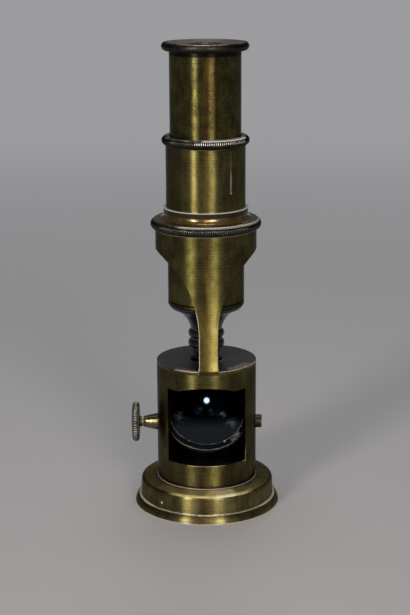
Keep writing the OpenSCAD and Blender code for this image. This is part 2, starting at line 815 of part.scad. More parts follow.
module eyepiece_cap() {
    top_r = cap_r - cap_top_in;
    boss_r = eye_lens_r + cap_boss_wall;
    spigot_in = eyepiece_bore - cap_spigot_wall;
    spigot_z = cap_z - cap_spigot_h;
    hole_r = eye_hole_d / 2;
    belt = [cap_r, cap_z + cap_belt_h];
    color(dark_bronze) rotate_extrude() polygon(concat(
        [[hole_r, eye_lens_z], [eye_lens_r, eye_lens_z], [eye_lens_r, eye_ring_z], [boss_r, eye_ring_z]],
        [[boss_r, cap_z], [spigot_in, cap_z], [spigot_in, spigot_z], [eyepiece_bore, spigot_z]],
        [[eyepiece_bore, cap_z], [eyepiece_r, cap_z]],
        bow([cap_r - cap_under_in, cap_z + cap_belt_h * 0.1], belt, cap_under_in * 0.25),
        bow(belt, [top_r, cap_top], cap_top_in * 0.25),
        [[top_r, cap_top]],
        bow([top_r - cap_rim, cap_top], [hole_r, cap_top - cap_dish], -cap_dish * 0.35),
        [[hole_r, cap_top - cap_dish]]
    ));
}

module eye_lens() {
    color(lens_glass) lens(eye_lens_r, eye_ring_wall, eye_lens_edge, eye_lens_dome, eye_lens_z, -1);
}

module eye_lens_ring() {
    color(black_paint) tube(eye_lens_r, eye_lens_r - eye_ring_wall, eye_ring_z, eye_ring_h);
}

module field_stop() {
    color(black_paint) tube(eyepiece_bore, field_stop_d / 2, cap_z - stop_depth - field_stop_t, field_stop_t);
}

module field_cell() {
    color(black_paint) rotate_extrude() polygon([
        [eyepiece_bore, field_z], [eyepiece_bore, field_z + field_cell_h],
        [field_hole, field_z + field_cell_h], [field_hole, field_lens_z],
        [field_bore, field_lens_z], [field_bore, field_z]
    ]);
}

module field_lens() {
    color(lens_glass) lens(field_bore, field_hold, field_lens_edge, field_lens_dome, field_lens_z, -1);
}

module field_lens_ring() {
    ring_z = field_lens_z - field_lens_edge - field_ring_h;
    color(black_paint) tube(field_bore, field_hole, ring_z, field_ring_h);
}

foot();
lead_ballast();
floor_plate();
drum_shell();
stage_plate();
barrel_frame();
slide_collar();
spring_sleeve();
knob_bearing();
pivot_bearing();
mirror_rod();
mirror_knob();
mirror_cell();
mirror_glass();
mirror_bezel();
body_tube();
body_ring();
guide_lining();
nose_cone();
stop_ring();
upper_cell();
middle_cell();
front_cell();
upper_lens();
middle_lens();
front_lens();
eyepiece_tube();
eyepiece_cap();
eye_lens();
eye_lens_ring();
field_stop();
field_cell();
field_lens();
field_lens_ring();
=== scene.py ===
"""Dresses the solids of a small brass drum microscope as the old, tarnished instrument looks.

Sizes are millimetres here and become metres when a mesh is written. The frame is the solids' own: +Z runs up
the optical axis, the window faces -Y, and the mirror's knob stands at -X. An angle round the axis is counted
from the middle of the window to the right, so a point at radius r and angle a is (r sin a, -r cos a).
"""

from __future__ import annotations

import json
import logging
import math
from dataclasses import dataclass
from enum import Enum, IntEnum
from typing import Sequence

import bmesh
import bpy
import numpy as np
from mathutils import Matrix, Vector

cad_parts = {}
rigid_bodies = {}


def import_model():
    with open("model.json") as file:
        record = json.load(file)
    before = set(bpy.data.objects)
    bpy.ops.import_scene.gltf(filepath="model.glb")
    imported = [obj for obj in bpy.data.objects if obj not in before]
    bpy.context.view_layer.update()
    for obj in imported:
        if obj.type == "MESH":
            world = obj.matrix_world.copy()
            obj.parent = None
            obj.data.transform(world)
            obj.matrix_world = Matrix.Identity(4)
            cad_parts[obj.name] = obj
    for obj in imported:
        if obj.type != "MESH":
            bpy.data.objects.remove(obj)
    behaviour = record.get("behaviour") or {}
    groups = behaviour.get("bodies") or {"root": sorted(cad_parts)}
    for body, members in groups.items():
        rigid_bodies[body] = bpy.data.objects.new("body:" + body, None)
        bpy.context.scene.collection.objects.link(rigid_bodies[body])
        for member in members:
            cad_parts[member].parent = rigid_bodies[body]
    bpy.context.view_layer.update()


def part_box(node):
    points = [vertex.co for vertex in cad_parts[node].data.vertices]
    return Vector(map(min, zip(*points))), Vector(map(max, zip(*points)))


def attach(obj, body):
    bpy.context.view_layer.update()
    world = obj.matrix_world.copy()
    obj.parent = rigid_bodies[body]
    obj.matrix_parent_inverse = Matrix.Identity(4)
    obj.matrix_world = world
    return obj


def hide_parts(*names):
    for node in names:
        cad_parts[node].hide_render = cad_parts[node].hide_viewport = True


LOG = logging.getLogger("microscope")
MM = 0.001
CM = 10.0
TURN = 2.0 * math.pi
TINY = 1e-6
# The name of the UV map that holds turns and centimetres
TURNING = "turning"
# Which setting of a node its mode is
MODE_NAMES = {"Math": "operation", "VectorMath": "operation", "MapRange": "interpolation_type",
              "Mix": "data_type"}
# A speck's width against its cell and the fade at its rim, and how far the turned lines wander
SPECK_WIDTH = 0.34
SPECK_FADE = 0.1
LINE_WAVER = 0.012
# Vertices closer than this many metres become one. Edges over the first angle are bevelled where a piece
# asks for it, and edges over the second are shaded sharp.
MERGED = 1e-6
BEVELLED_FROM = math.radians(50)
SHARP_FROM = math.radians(42)
# In millimetres: the wall of the drum and the barrel, and the play of a piece that is dropped into another
TUBE_WALL = 0.85
DROP_IN_GAP = 0.03
# The height in metres that the lamps face
AIM_HEIGHT = 0.09
# How far a quarter round stands off its chord, against its radius
ROUND_RISE = 0.28

Point = Sequence[float]
Corners = list[tuple[float, ...]]
Socket = bpy.types.NodeSocket
Feed = Socket | float | str | Sequence[float] | None


class Body(Enum):
    """The bodies that move against each other."""

    STAND = "stand"
    MIRROR = "mirror"
    TUBE = "body"
    EYEPIECE = "eyepiece"


class Slot(Enum):
    """The record's material slots."""

    LACQUERED = "lacquered_brass"
    MILLED = "milled_brass"
    BRONZE = "dark_bronze"
    BLACK_BRASS = "black_brass"
    PAINT = "black_paint"
    LEAD = "lead"
    LENS = "lens_glass"
    MIRROR = "mirror_glass"


@dataclass(frozen=True)
class Extent:
    """The box of a solid at rest, in millimetres."""

    low: np.ndarray
    high: np.ndarray

    @property
    def radius(self) -> float:
        """Half the width along X, which is the radius of a turned solid."""
        return float(self.high[0] - self.low[0]) / 2

    @property
    def bottom(self) -> float:
        """The lowest height."""
        return float(self.low[2])

    @property
    def top(self) -> float:
        """The greatest height."""
        return float(self.high[2])


def extent(node: str) -> Extent:
    """Reads a solid's box from the frame.

    Args:
        node: The solid's name.

    Returns:
        Its box in millimetres.
    """
    low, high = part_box(node)
    return Extent(np.array(low) / MM, np.array(high) / MM)


@dataclass
class Outline:
    """A closed outline in a half-plane through an axis. Its last point repeats its first.

    Each array has one value a point: the radius, the height, the way run along the outline, how far a hand
    has worn it bright, and how much dirt lies in it.
    """

    r: np.ndarray
    z: np.ndarray
    run: np.ndarray
    wear: np.ndarray
    grime: np.ndarray


# How far from a corner guard points stand, and the share of a side that they and a rounding may take up
GUARDS = np.array([0.1, 0.3, 0.7, 1.4])
SIDE_SHARE = 0.45
ROUNDED_FROM = math.radians(12)
ROUNDING_STEP = math.radians(22)
WEAR_FADE = 0.28
GRIME_FADE = 0.45


def trace(corners: Sequence[Point], rounding: float = 0.1) -> Outline:
    """Rounds the corners of a closed outline, and sets points beside them that keep the straight runs flat.

    A corner that turns by more than 12 degrees becomes a quadratic curve that leaves each side at the
    rounding times the tangent of half the turn. Wear falls off exponentially with the way from a convex
    corner, and dirt with the way from a hollow one.

    Args:
        corners: Radius, height and, where it differs, the rounding of each corner.
        rounding: The rounding of the corners that give none.

    Returns:
        The outline.
    """
    places = np.array([corner[:2] for corner in corners], float)
    size = np.array([corner[2] if len(corner) > 2 else rounding for corner in corners], float)
    after = np.roll(places, -1, axis=0) - places
    length = np.linalg.norm(after, axis=1)
    ahead = after / length[:, None]
    behind = np.roll(ahead, 1, axis=0)
    cross = behind[:, 0] * ahead[:, 1] - behind[:, 1] * ahead[:, 0]
    turn = np.arctan2(cross, (behind * ahead).sum(axis=1))
    following = np.roll(places, -1, axis=0)
    area = (places[:, 0] * following[:, 1] - following[:, 0] * places[:, 1]).sum()
    bend = turn * math.copysign(1.0, area)
    room = SIDE_SHARE * np.minimum(length, np.roll(length, 1))
    cut = np.minimum(size * np.tan(np.abs(turn) / 2), room)
    cut[np.abs(turn) < ROUNDED_FROM] = 0.0

    rows: list[np.ndarray] = []
    worn: list[tuple[int, float]] = []
    count = 0
    for index, corner in enumerate(places):
        steps = 2 + int(abs(turn[index]) / ROUNDING_STEP) if cut[index] > 0 else 0
        t = np.linspace(0, 1, steps + 1)[:, None] if steps else np.array([[0.5]])
        start = corner - behind[index] * cut[index]
        end = corner + ahead[index] * cut[index]
        rows.append((1 - t) ** 2 * start + 2 * t * (1 - t) * corner + t**2 * end)
        if abs(turn[index]) >= ROUNDED_FROM:
            worn.append((count + len(t) // 2, bend[index]))
        count += len(t)
        next_index = (index + 1) % len(places)
        other = places[next_index] - ahead[index] * cut[next_index]
        straight = float(np.linalg.norm(other - end))
        near = GUARDS[GUARDS < SIDE_SHARE * straight]
        way = np.concatenate([near, straight - near[::-1]])[:, None]
        rows.append(end + ahead[index] * way)
        count += len(way)
    points = np.concatenate(rows)
    points = np.vstack([points, points[:1]])
    run = np.concatenate([[0.0], np.cumsum(np.linalg.norm(np.diff(points, axis=0), axis=1))])
    wear, grime = np.zeros(len(run)), np.zeros(len(run))
    for place, amount in worn:
        away = np.abs(run - run[place])
        away = np.minimum(away, run[-1] - away)
        share = min(abs(amount) / (math.pi / 2), 1.0)
        if amount > 0:
            wear += share * np.exp(-away / WEAR_FADE)
        else:
            grime += share * np.exp(-away / GRIME_FADE)
    return Outline(points[:, 0], points[:, 1], run, np.clip(wear, 0, 1), np.clip(grime, 0, 1))


def swell(start: Point, end: Point, rise: float, steps: int = 10) -> Corners:
    """Points of a parabola between two points, both left out.

    Args:
        start: Radius and height of its start.
        end: Radius and height of its end.
        rise: How far its middle stands off the chord, to the right of the way.
        steps: How many parts it has.

    Returns:
        The points between.
    """
    first, last = np.array(start[:2], float), np.array(end[:2], float)
    way = last - first
    side = np.array([way[1], -way[0]]) / np.linalg.norm(way)
    t = np.linspace(0, 1, steps + 1)[1:-1, None]
    return [tuple(point) for point in first + way * t + side * rise * 4 * t * (1 - t)]


def arc(middle: Point, radius: float, start: float, end: float, steps: int = 12) -> Corners:
    """Points of a circle, its ends among them.

    Args:
        middle: Radius and height of the circle's middle.
        radius: The circle's radius.
        start: First angle in degrees, counted from outwards towards up.
        end: Last angle in degrees.
        steps: How many parts the arc has.

    Returns:
        The points.
    """
    angle = np.radians(np.linspace(start, end, steps + 1))
    return list(zip(middle[0] + radius * np.cos(angle), middle[1] + radius * np.sin(angle)))


class Mark(IntEnum):
    """What each vertex carries: a surface's columns, and in small letters the mesh's attributes."""

    # Wear and other also carry painted highlights, and grime and lining also carry painted shade
    WEAR = 0
    GRIME = 1
    LINING = 2
    OTHER = 3


def within(values: np.ndarray, low: float, high: float, fade: float) -> np.ndarray:
    """1 between two values, falling as a smooth step to 0 over the fade outside them."""
    share = np.clip(1 - np.maximum(low - values, values - high) / fade, 0, 1)
    return share * share * (3 - 2 * share)


@dataclass(frozen=True)
class Patch:
    """How strong a mark is round the axis: a level everywhere, and spans that add to it.

    Each span is the amount that it adds, its first and last angle, and its fade beyond them, in degrees.
    """

    kind: Mark
    spans: tuple[tuple[float, float, float, float], ...] = ()
    level: float = 0.0

    def strength(self, turn: np.ndarray) -> np.ndarray:
        """The mark's strength at each angle."""
        return self.level + sum(amount * within(turn, *span) for amount, *span in self.spans)


@dataclass
class Surface:
    """Vertices and quads, with what each vertex carries.

    The turning map holds the turns round the axis and the way along the outline in centimetres. The marks
    have a column each for wear and painted highlights, for dirt and painted shade, for the inner side and
    painted shade, and for the other finish and painted highlights.
    """

    at: np.ndarray
    quads: np.ndarray
    turning: np.ndarray
    marks: np.ndarray

    def moved(self, rotation: np.ndarray, shift: Sequence[float] = (0, 0, 0)) -> Surface:
        """The surface turned by a rotation matrix and then shifted."""
        return Surface(self.at @ rotation.T + np.array(shift, float), self.quads, self.turning, self.marks)

    @property
    def turn(self) -> np.ndarray:
        """Each vertex's angle round the Z axis in degrees, from the middle of the window to the right."""
        return np.degrees(np.arctan2(self.at[:, 0], -self.at[:, 1]))

    @property
    def height(self) -> np.ndarray:
        """Each vertex's height."""
        return self.at[:, 2]

    @property
    def reach(self) -> np.ndarray:
        """Each vertex's distance from the Z axis."""
        return np.hypot(self.at[:, 0], self.at[:, 1])

    @property
    def outside(self) -> np.ndarray:
        """True for each vertex that isn't lining."""
        return self.marks[:, Mark.LINING] < 0.5

    def mark(self, kind: Mark, value: np.ndarray) -> Surface:
        """Raises one mark to at least the given value, and returns the surface."""
        self.marks[:, kind] = np.maximum(self.marks[:, kind], np.clip(value, 0, 1))
        return self

    def lay(self, patch: Patch, where: np.ndarray) -> Surface:
        """Lays a patch where the given share says, and returns the surface."""
        return self.mark(patch.kind, where * patch.strength(self.turn))

    def spare(self, kept: np.ndarray | float, kind: Mark = Mark.WEAR) -> Surface:
        """Lessens the wear or another mark to the given share of it, and returns the surface."""
        self.marks[:, kind] *= kept
        return self


def join(parts: Sequence[Surface]) -> Surface:
    """Puts several surfaces into one.

    Args:
        parts: The surfaces.

    Returns:
        The one surface.
    """
    starts = np.concatenate([[0], np.cumsum([len(part.at) for part in parts])])
    quads = np.concatenate([part.quads + start for part, start in zip(parts, starts)])
    at, turning, marks = (np.concatenate([getattr(part, field) for part in parts])
                          for field in ("at", "turning", "marks"))
    return Surface(at, quads, turning, marks)


def outward(surface: Surface) -> Surface:
    """Turns a closed surface's faces outwards, going by the sign of the volume that they enclose.

    Args:
        surface: The surface, which is changed.

    Returns:
        The same surface.
    """
    a, b, c, d = (surface.at[surface.quads[:, k]] for k in range(4))
    volume = (a * np.cross(b, c)).sum() + (a * np.cross(c, d)).sum()
    if volume < 0:
        surface.quads = surface.quads[:, ::-1]
    return surface


@dataclass(frozen=True)
class Milling:
    """Grooves cut across a turned edge.

    The radius falls by depth * (1 - |cos(count * angle / 2)|), which gives rounded ridges between sharp
    grooves. The depth fades to nothing where the edge lies more than the band below its greatest radius.
    """

    count: int
    depth: float
    band: float
    columns: int = 6
    bright: float = 0.42


def around(columns: int) -> np.ndarray:
    """Angles of evenly spaced columns round the whole turn, the first and last at the same place."""
    return np.linspace(0, TURN, columns + 1)


def revolve(outline: Outline, angles: np.ndarray | None = None, reach: np.ndarray | None = None,
            milling: Milling | None = None, bore: float = 0.0) -> Surface:
    """Turns an outline about the Z axis: (r, z) at the angle a becomes (r sin a, -r cos a, z).

    Args:
        outline: The closed outline.
        angles: The columns' angles, or None for 144 even ones.
        reach: The greatest radius at each column, or None.
        milling: The grooves across the outermost edge, or None.
        bore: Points nearer to the axis than this are lining.

    Returns:
        The closed surface.
    """
    if milling is not None:
        angles = around(milling.count * milling.columns)
    elif angles is None:
        angles = around(144)
    radius = np.repeat(outline.r[:, None], len(angles), axis=1)
    wear = np.repeat(outline.wear[:, None], len(angles), axis=1)
    grime = np.repeat(outline.grime[:, None], len(angles), axis=1)
    other = np.zeros(radius.shape)
    if reach is not None:
        radius = np.minimum(radius, reach[None, :])
    if milling is not None:
        crest = outline.r.max()
        mask = np.clip((outline.r - crest + milling.band) / milling.band, 0, 1) ** 0.5
        groove = 1 - np.abs(np.cos(milling.count * angles / 2))
        radius -= milling.depth * mask[:, None] * groove[None, :]
        wear = np.maximum(wear, milling.bright * mask[:, None] * np.clip(1 - 2.5 * groove, 0, 1)[None, :])
        grime = np.maximum(grime, mask[:, None] * np.clip(2.2 * groove - 1, 0, 1)[None, :])
        other += np.clip(mask * 1.6, 0, 1)[:, None]
    at = np.stack([radius * np.sin(angles), -radius * np.cos(angles),
                   np.repeat(outline.z[:, None], len(angles), axis=1)], axis=2)
    rows, columns = radius.shape
    index = np.arange(rows * columns).reshape(rows, columns)
    quads = np.stack([index[:-1, :-1], index[:-1, 1:], index[1:, 1:], index[1:, :-1]], axis=2).reshape(-1, 4)
    turning = np.stack(np.broadcast_arrays(angles[None, :] / TURN, outline.run[:, None] / 10), axis=2)
    marks = np.stack([wear, grime, (radius < bore).astype(float), other], axis=2)
    return outward(Surface(at.reshape(-1, 3), quads, turning.reshape(-1, 2), marks.reshape(-1, 4)))


def shell(outer: np.ndarray, inner: np.ndarray, keep: np.ndarray, angles: np.ndarray,
          wear: np.ndarray) -> Surface:
    """Makes a closed wall between two grids that go round the axis, with openings where cells aren't kept.

    Args:
        outer: The outer grid's vertices, rows by columns by 3. Its last column lies on its first.
        inner: The inner grid's vertices, the same way.
        keep: True for each cell that is wall, rows - 1 by columns - 1.
        angles: The angle of each outer vertex, rows by columns.
        wear: The wear of each vertex, rows by columns.

    Returns:
        The closed surface.
    """
    rows, columns = wear.shape
    index = np.arange(rows * columns).reshape(rows, columns)
    step = rows * columns
    i, j = np.nonzero(keep)
    wall = np.stack([index[i, j], index[i, j + 1], index[i + 1, j + 1], index[i + 1, j]], 1)
    quads = [wall, wall[:, ::-1] + step]
    left_open = keep & ~np.roll(keep, 1, axis=1)
    right_open = keep & ~np.roll(keep, -1, axis=1)
    none = np.zeros((1, columns - 1), bool)
    below_open = keep & ~np.vstack([none, keep[:-1]])
    above_open = keep & ~np.vstack([keep[1:], none])
    for open_side, first, second in (
        (left_open, (0, 0), (1, 0)), (right_open, (1, 1), (0, 1)),
        (below_open, (0, 1), (0, 0)), (above_open, (1, 0), (1, 1)),
    ):
        i, j = np.nonzero(open_side)
        a = index[i + first[0], j + first[1]]
        b = index[i + second[0], j + second[1]]
        quads.append(np.stack([a, b, b + step, a + step], 1))
    turning = np.stack([angles / TURN, outer[:, :, 2] / 10], axis=2).reshape(-1, 2)
    marks = np.zeros((2 * step, len(Mark)))
    marks[:, Mark.WEAR] = np.concatenate([wear.ravel(), 0.3 * wear.ravel()])
    marks[step:, Mark.LINING] = 1.0
    return Surface(np.concatenate([outer.reshape(-1, 3), inner.reshape(-1, 3)]), np.concatenate(quads),
                   np.concatenate([turning, turning]), marks)


def ring_of(radius: float, angles: np.ndarray, heights: np.ndarray) -> np.ndarray:
    """Vertices on a cylinder about Z, for arrays of angles and heights of one shape."""
    return np.stack([radius * np.sin(angles), -radius * np.cos(angles), heights], axis=-1)


def nearness(points: np.ndarray, border: np.ndarray, fade: float) -> np.ndarray:
    """How near points lie to a border: exp(-distance / fade), with the distance in the unrolled wall.

    Args:
        points: Places in the unrolled wall, rows by columns by 2.
        border: Places along the border, n by 2, spaced closer than the fade.
        fade: The way over which the value falls to 0.37.

    Returns:
        A value from 0 to 1 for each point.
    """
    flat = points.reshape(-1, 2)
    nearest = np.full(len(flat), np.inf)
    for chunk in np.array_split(border, max(1, len(border) // 64)):
        gap = ((flat[:, None, :] - chunk[None, :, :]) ** 2).sum(axis=2).min(axis=1)
        nearest = np.minimum(nearest, gap)
    return np.exp(-np.sqrt(nearest) / fade).reshape(points.shape[:2])


def densely(border: np.ndarray, spacing: float = 0.1) -> np.ndarray:
    """Sets points along a broken line, closer together than the spacing.

    Args:
        border: The line's own points.
        spacing: The spacing in millimetres.

    Returns:
        The points.
    """
    length = np.linalg.norm(np.diff(border, axis=0), axis=1)
    run = np.concatenate([[0.0], np.cumsum(length)])
    way = np.linspace(0, run[-1], 2 + int(run[-1] / spacing))
    return np.stack([np.interp(way, run, border[:, 0]), np.interp(way, run, border[:, 1])], axis=1)


def spaced(start: float, end: float, cells: int) -> np.ndarray:
    """Spaces out values from start to end, for the rows or columns at an opening.

    Args:
        start: The first value.
        end: The last value.
        cells: How many cells lie between the guard values, which stand beside both ends.

    Returns:
        The values.
    """
    length = end - start
    near = GUARDS[GUARDS < 0.3 * length]
    if not len(near):
        return np.linspace(start, end, cells + 1)
    middle = np.linspace(start + near[-1], end - near[-1], cells + 1) - start
    return start + np.concatenate([[0.0], near[:-1], middle, (length - near[:-1])[::-1], [length]])


def along_rod(side: int) -> np.ndarray:
    """The rotation that lays the Z axis along -X for side -1, or along +X for side 1."""
    return np.array([[0, 0, side], [0, 1, 0], [-side, 0, 0]], float)


def tilted(degrees: float) -> np.ndarray:
    """The rotation about X that turns the Z axis towards the window."""
    c, s = math.cos(math.radians(degrees)), math.sin(math.radians(degrees))
    return np.array([[1, 0, 0], [0, c, -s], [0, s, c]])


def write_mesh(name: str, surface: Surface, bevel: float = 0.0) -> bpy.types.Object:
    """Makes an object from a surface: doubles merged, sharp edges bevelled if asked, and shaded smooth.

    Args:
        name: The object's name.
        surface: The surface in millimetres.
        bevel: The width of the bevel on its sharp edges, or 0 for none.

    Returns:
        The new object, at the origin.
    """
    mesh = bpy.data.meshes.new(name)
    mesh.from_pydata((surface.at * MM).tolist(), [], surface.quads.tolist())
    corner_vertex = np.empty(len(mesh.loops), np.int32)
    mesh.loops.foreach_get("vertex_index", corner_vertex)
    mesh.uv_layers.new(name=TURNING).data.foreach_set("uv", surface.turning[corner_vertex].ravel())
    for mark in Mark:
        attribute = mesh.attributes.new(mark.name.lower(), "FLOAT", "POINT")
        attribute.data.foreach_set("value", surface.marks[:, mark].astype(np.float32))
    work = bmesh.new()
    work.from_mesh(mesh)
    bmesh.ops.remove_doubles(work, verts=work.verts, dist=MERGED)
    loose = [vertex for vertex in work.verts if not vertex.link_faces]
    bmesh.ops.delete(work, geom=loose, context="VERTS")
    if bevel:
        steep = [edge for edge in work.edges
                 if len(edge.link_faces) == 2 and edge.calc_face_angle(0.0) > BEVELLED_FROM]
        bmesh.ops.bevel(work, geom=steep, offset=bevel * MM, offset_type="OFFSET", segments=2,
                        profile=0.6, affect="EDGES", clamp_overlap=True)
        bmesh.ops.remove_doubles(work, verts=work.verts, dist=MERGED)
    work.to_mesh(mesh)
    work.free()
    mesh.shade_smooth()
    mesh.set_sharp_from_angle(angle=SHARP_FROM)
    return put(name, mesh)


def linear(colour: str) -> tuple[float, float, float, float]:
    """Turns an sRGB hex colour such as 8a6b2c into linear red, green and blue, with an alpha of 1.

    Args:
        colour: The six hex digits.

    Returns:
        The four numbers.
    """
    coded = np.array([int(colour[k:k + 2], 16) for k in (0, 2, 4)]) / 255
    plain = np.where(coded <= 0.04045, coded / 12.92, ((coded + 0.055) / 1.055) ** 2.4)
    return (float(plain[0]), float(plain[1]), float(plain[2]), 1.0)


def add_node(tree: bpy.types.NodeTree, kind: str, *inputs: Feed, feed: dict[str | int, Feed] | None = None,
             out: str | int = 0, **settings: str | float) -> Socket | None:
    """Adds a node, sets it and feeds it.

    Args:
        tree: The node tree.
        kind: The node's type without ShaderNode, and after a space its mode, as in "Math ADD".
        inputs: What the inputs take in their order: a socket, a value, or a colour in hex digits.
        feed: The same by an input's name or number.
        out: The name or number of the output that is wanted.
        settings: Values by the name of an attribute of the node.

    Returns:
        The output, or None for a node that has none.
    """
    kind, _, mode = kind.partition(" ")
    node = tree.nodes.new(f"ShaderNode{kind}")
    if mode:
        setattr(node, MODE_NAMES[kind], mode)
    for key, value in settings.items():
        setattr(node, key, value)
    for key, value in {**dict(enumerate(inputs)), **(feed or {})}.items():
        if isinstance(value, bpy.types.NodeSocket):
            tree.links.new(value, node.inputs[key])
        else:
            node.inputs[key].default_value = linear(value) if isinstance(value, str) else value
    return node.outputs[out] if node.outputs else None


class Weave:
    """A small workbench for one material: it holds the node tree and the patterns that finishes share."""

    def __init__(self, name: str) -> None:
        """Makes an empty node material, and the coordinates in millimetres that its patterns read.

        Args:
            name: The material's name.
        """
        self.material = bpy.data.materials.new(name)
        self.material.use_nodes = True
        self.tree = self.material.node_tree
        self.tree.nodes.clear()
        self.mm = self.add("VectorMath SCALE", self.add("TexCoord", out="Object"), feed={"Scale": 1 / MM})
        self.uv = self.add("UVMap", uv_map=TURNING)

    def add(self, kind: str, *inputs: Feed, **more: Feed | dict[str | int, Feed]) -> Socket | None:
        """Adds a node to this material, as add_node says."""
        return add_node(self.tree, kind, *inputs, **more)

    def carried(self, mark: Mark) -> Socket:
        """The mark that the mesh's vertices carry."""
        return self.add("Attribute", attribute_name=mark.name.lower(), out="Fac")

    def clouding(self, size: float, detail: float = 3.0, rough: float = 0.55,
                 stretch: Sequence[float] = (1, 1, 1), shift: float = 0.0) -> Socket:
        """Soft clouds in the object's own space.

        Args:
            size: The size of the clouds in millimetres.
            detail: How many finer layers they have.
            rough: How strong the finer layers are.
            stretch: How closely the clouds stand along each axis.
            shift: Moves the pattern, so that two sets differ.

        Returns:
            A value from 0 to 1, mostly near a half.
        """
        place = self.add("VectorMath MULTIPLY", self.mm, tuple(stretch))
        place = self.add("VectorMath ADD", place, (shift, shift * 0.7, -shift))
        return self.add("TexNoise", place, feed={"Scale": 1 / size, "Detail": detail, "Roughness": rough})

    def specks(self, size: float, share: float, shift: float = 0.0) -> Socket:
        """Round specks: a spot at the middle of some of the cells of a Voronoi pattern.

        Args:
            size: The distance between cells in millimetres.
            share: The share of the cells that have a spot.
            shift: Moves the pattern, so that two sets differ.

        Returns:
            1 in a spot and 0 between spots.
        """
        place = self.add("VectorMath ADD", self.mm, (shift, -shift, shift))
        cells = self.add("TexVoronoi", place, feed={"Scale": 1 / size}).node.outputs
        chance = self.add("SeparateColor", cells["Color"])
        width = self.add("MapRange", chance, 1 - share, 1.0, 0.0, SPECK_WIDTH)
        inside = self.add("Math SUBTRACT", width, cells["Distance"])
        return self.add("MapRange SMOOTHSTEP", inside, 0.0, SPECK_FADE)

    def turned_lines(self, spacing: float) -> Socket:
        """Draws the lines that a lathe tool or emery leaves round a piece: one-way noise along the outline.

        Args:
            spacing: The distance from line to line in millimetres.

        Returns:
            The pattern, from 0 to 1.
        """
        run = self.add("SeparateXYZ", self.uv, out="Y")
        place = self.add("Math MULTIPLY_ADD", self.clouding(9.0, 2.0), LINE_WAVER, run)
        return self.add("TexNoise", noise_dimensions="1D",
                        feed={"W": place, "Scale": CM / spacing, "Detail": 3.0, "Roughness": 0.7})

    def finish(self, shader: Socket) -> bpy.types.Material:
        """Links the shader to the material's output and returns the material."""
        self.add("OutputMaterial", shader)
        return self.material


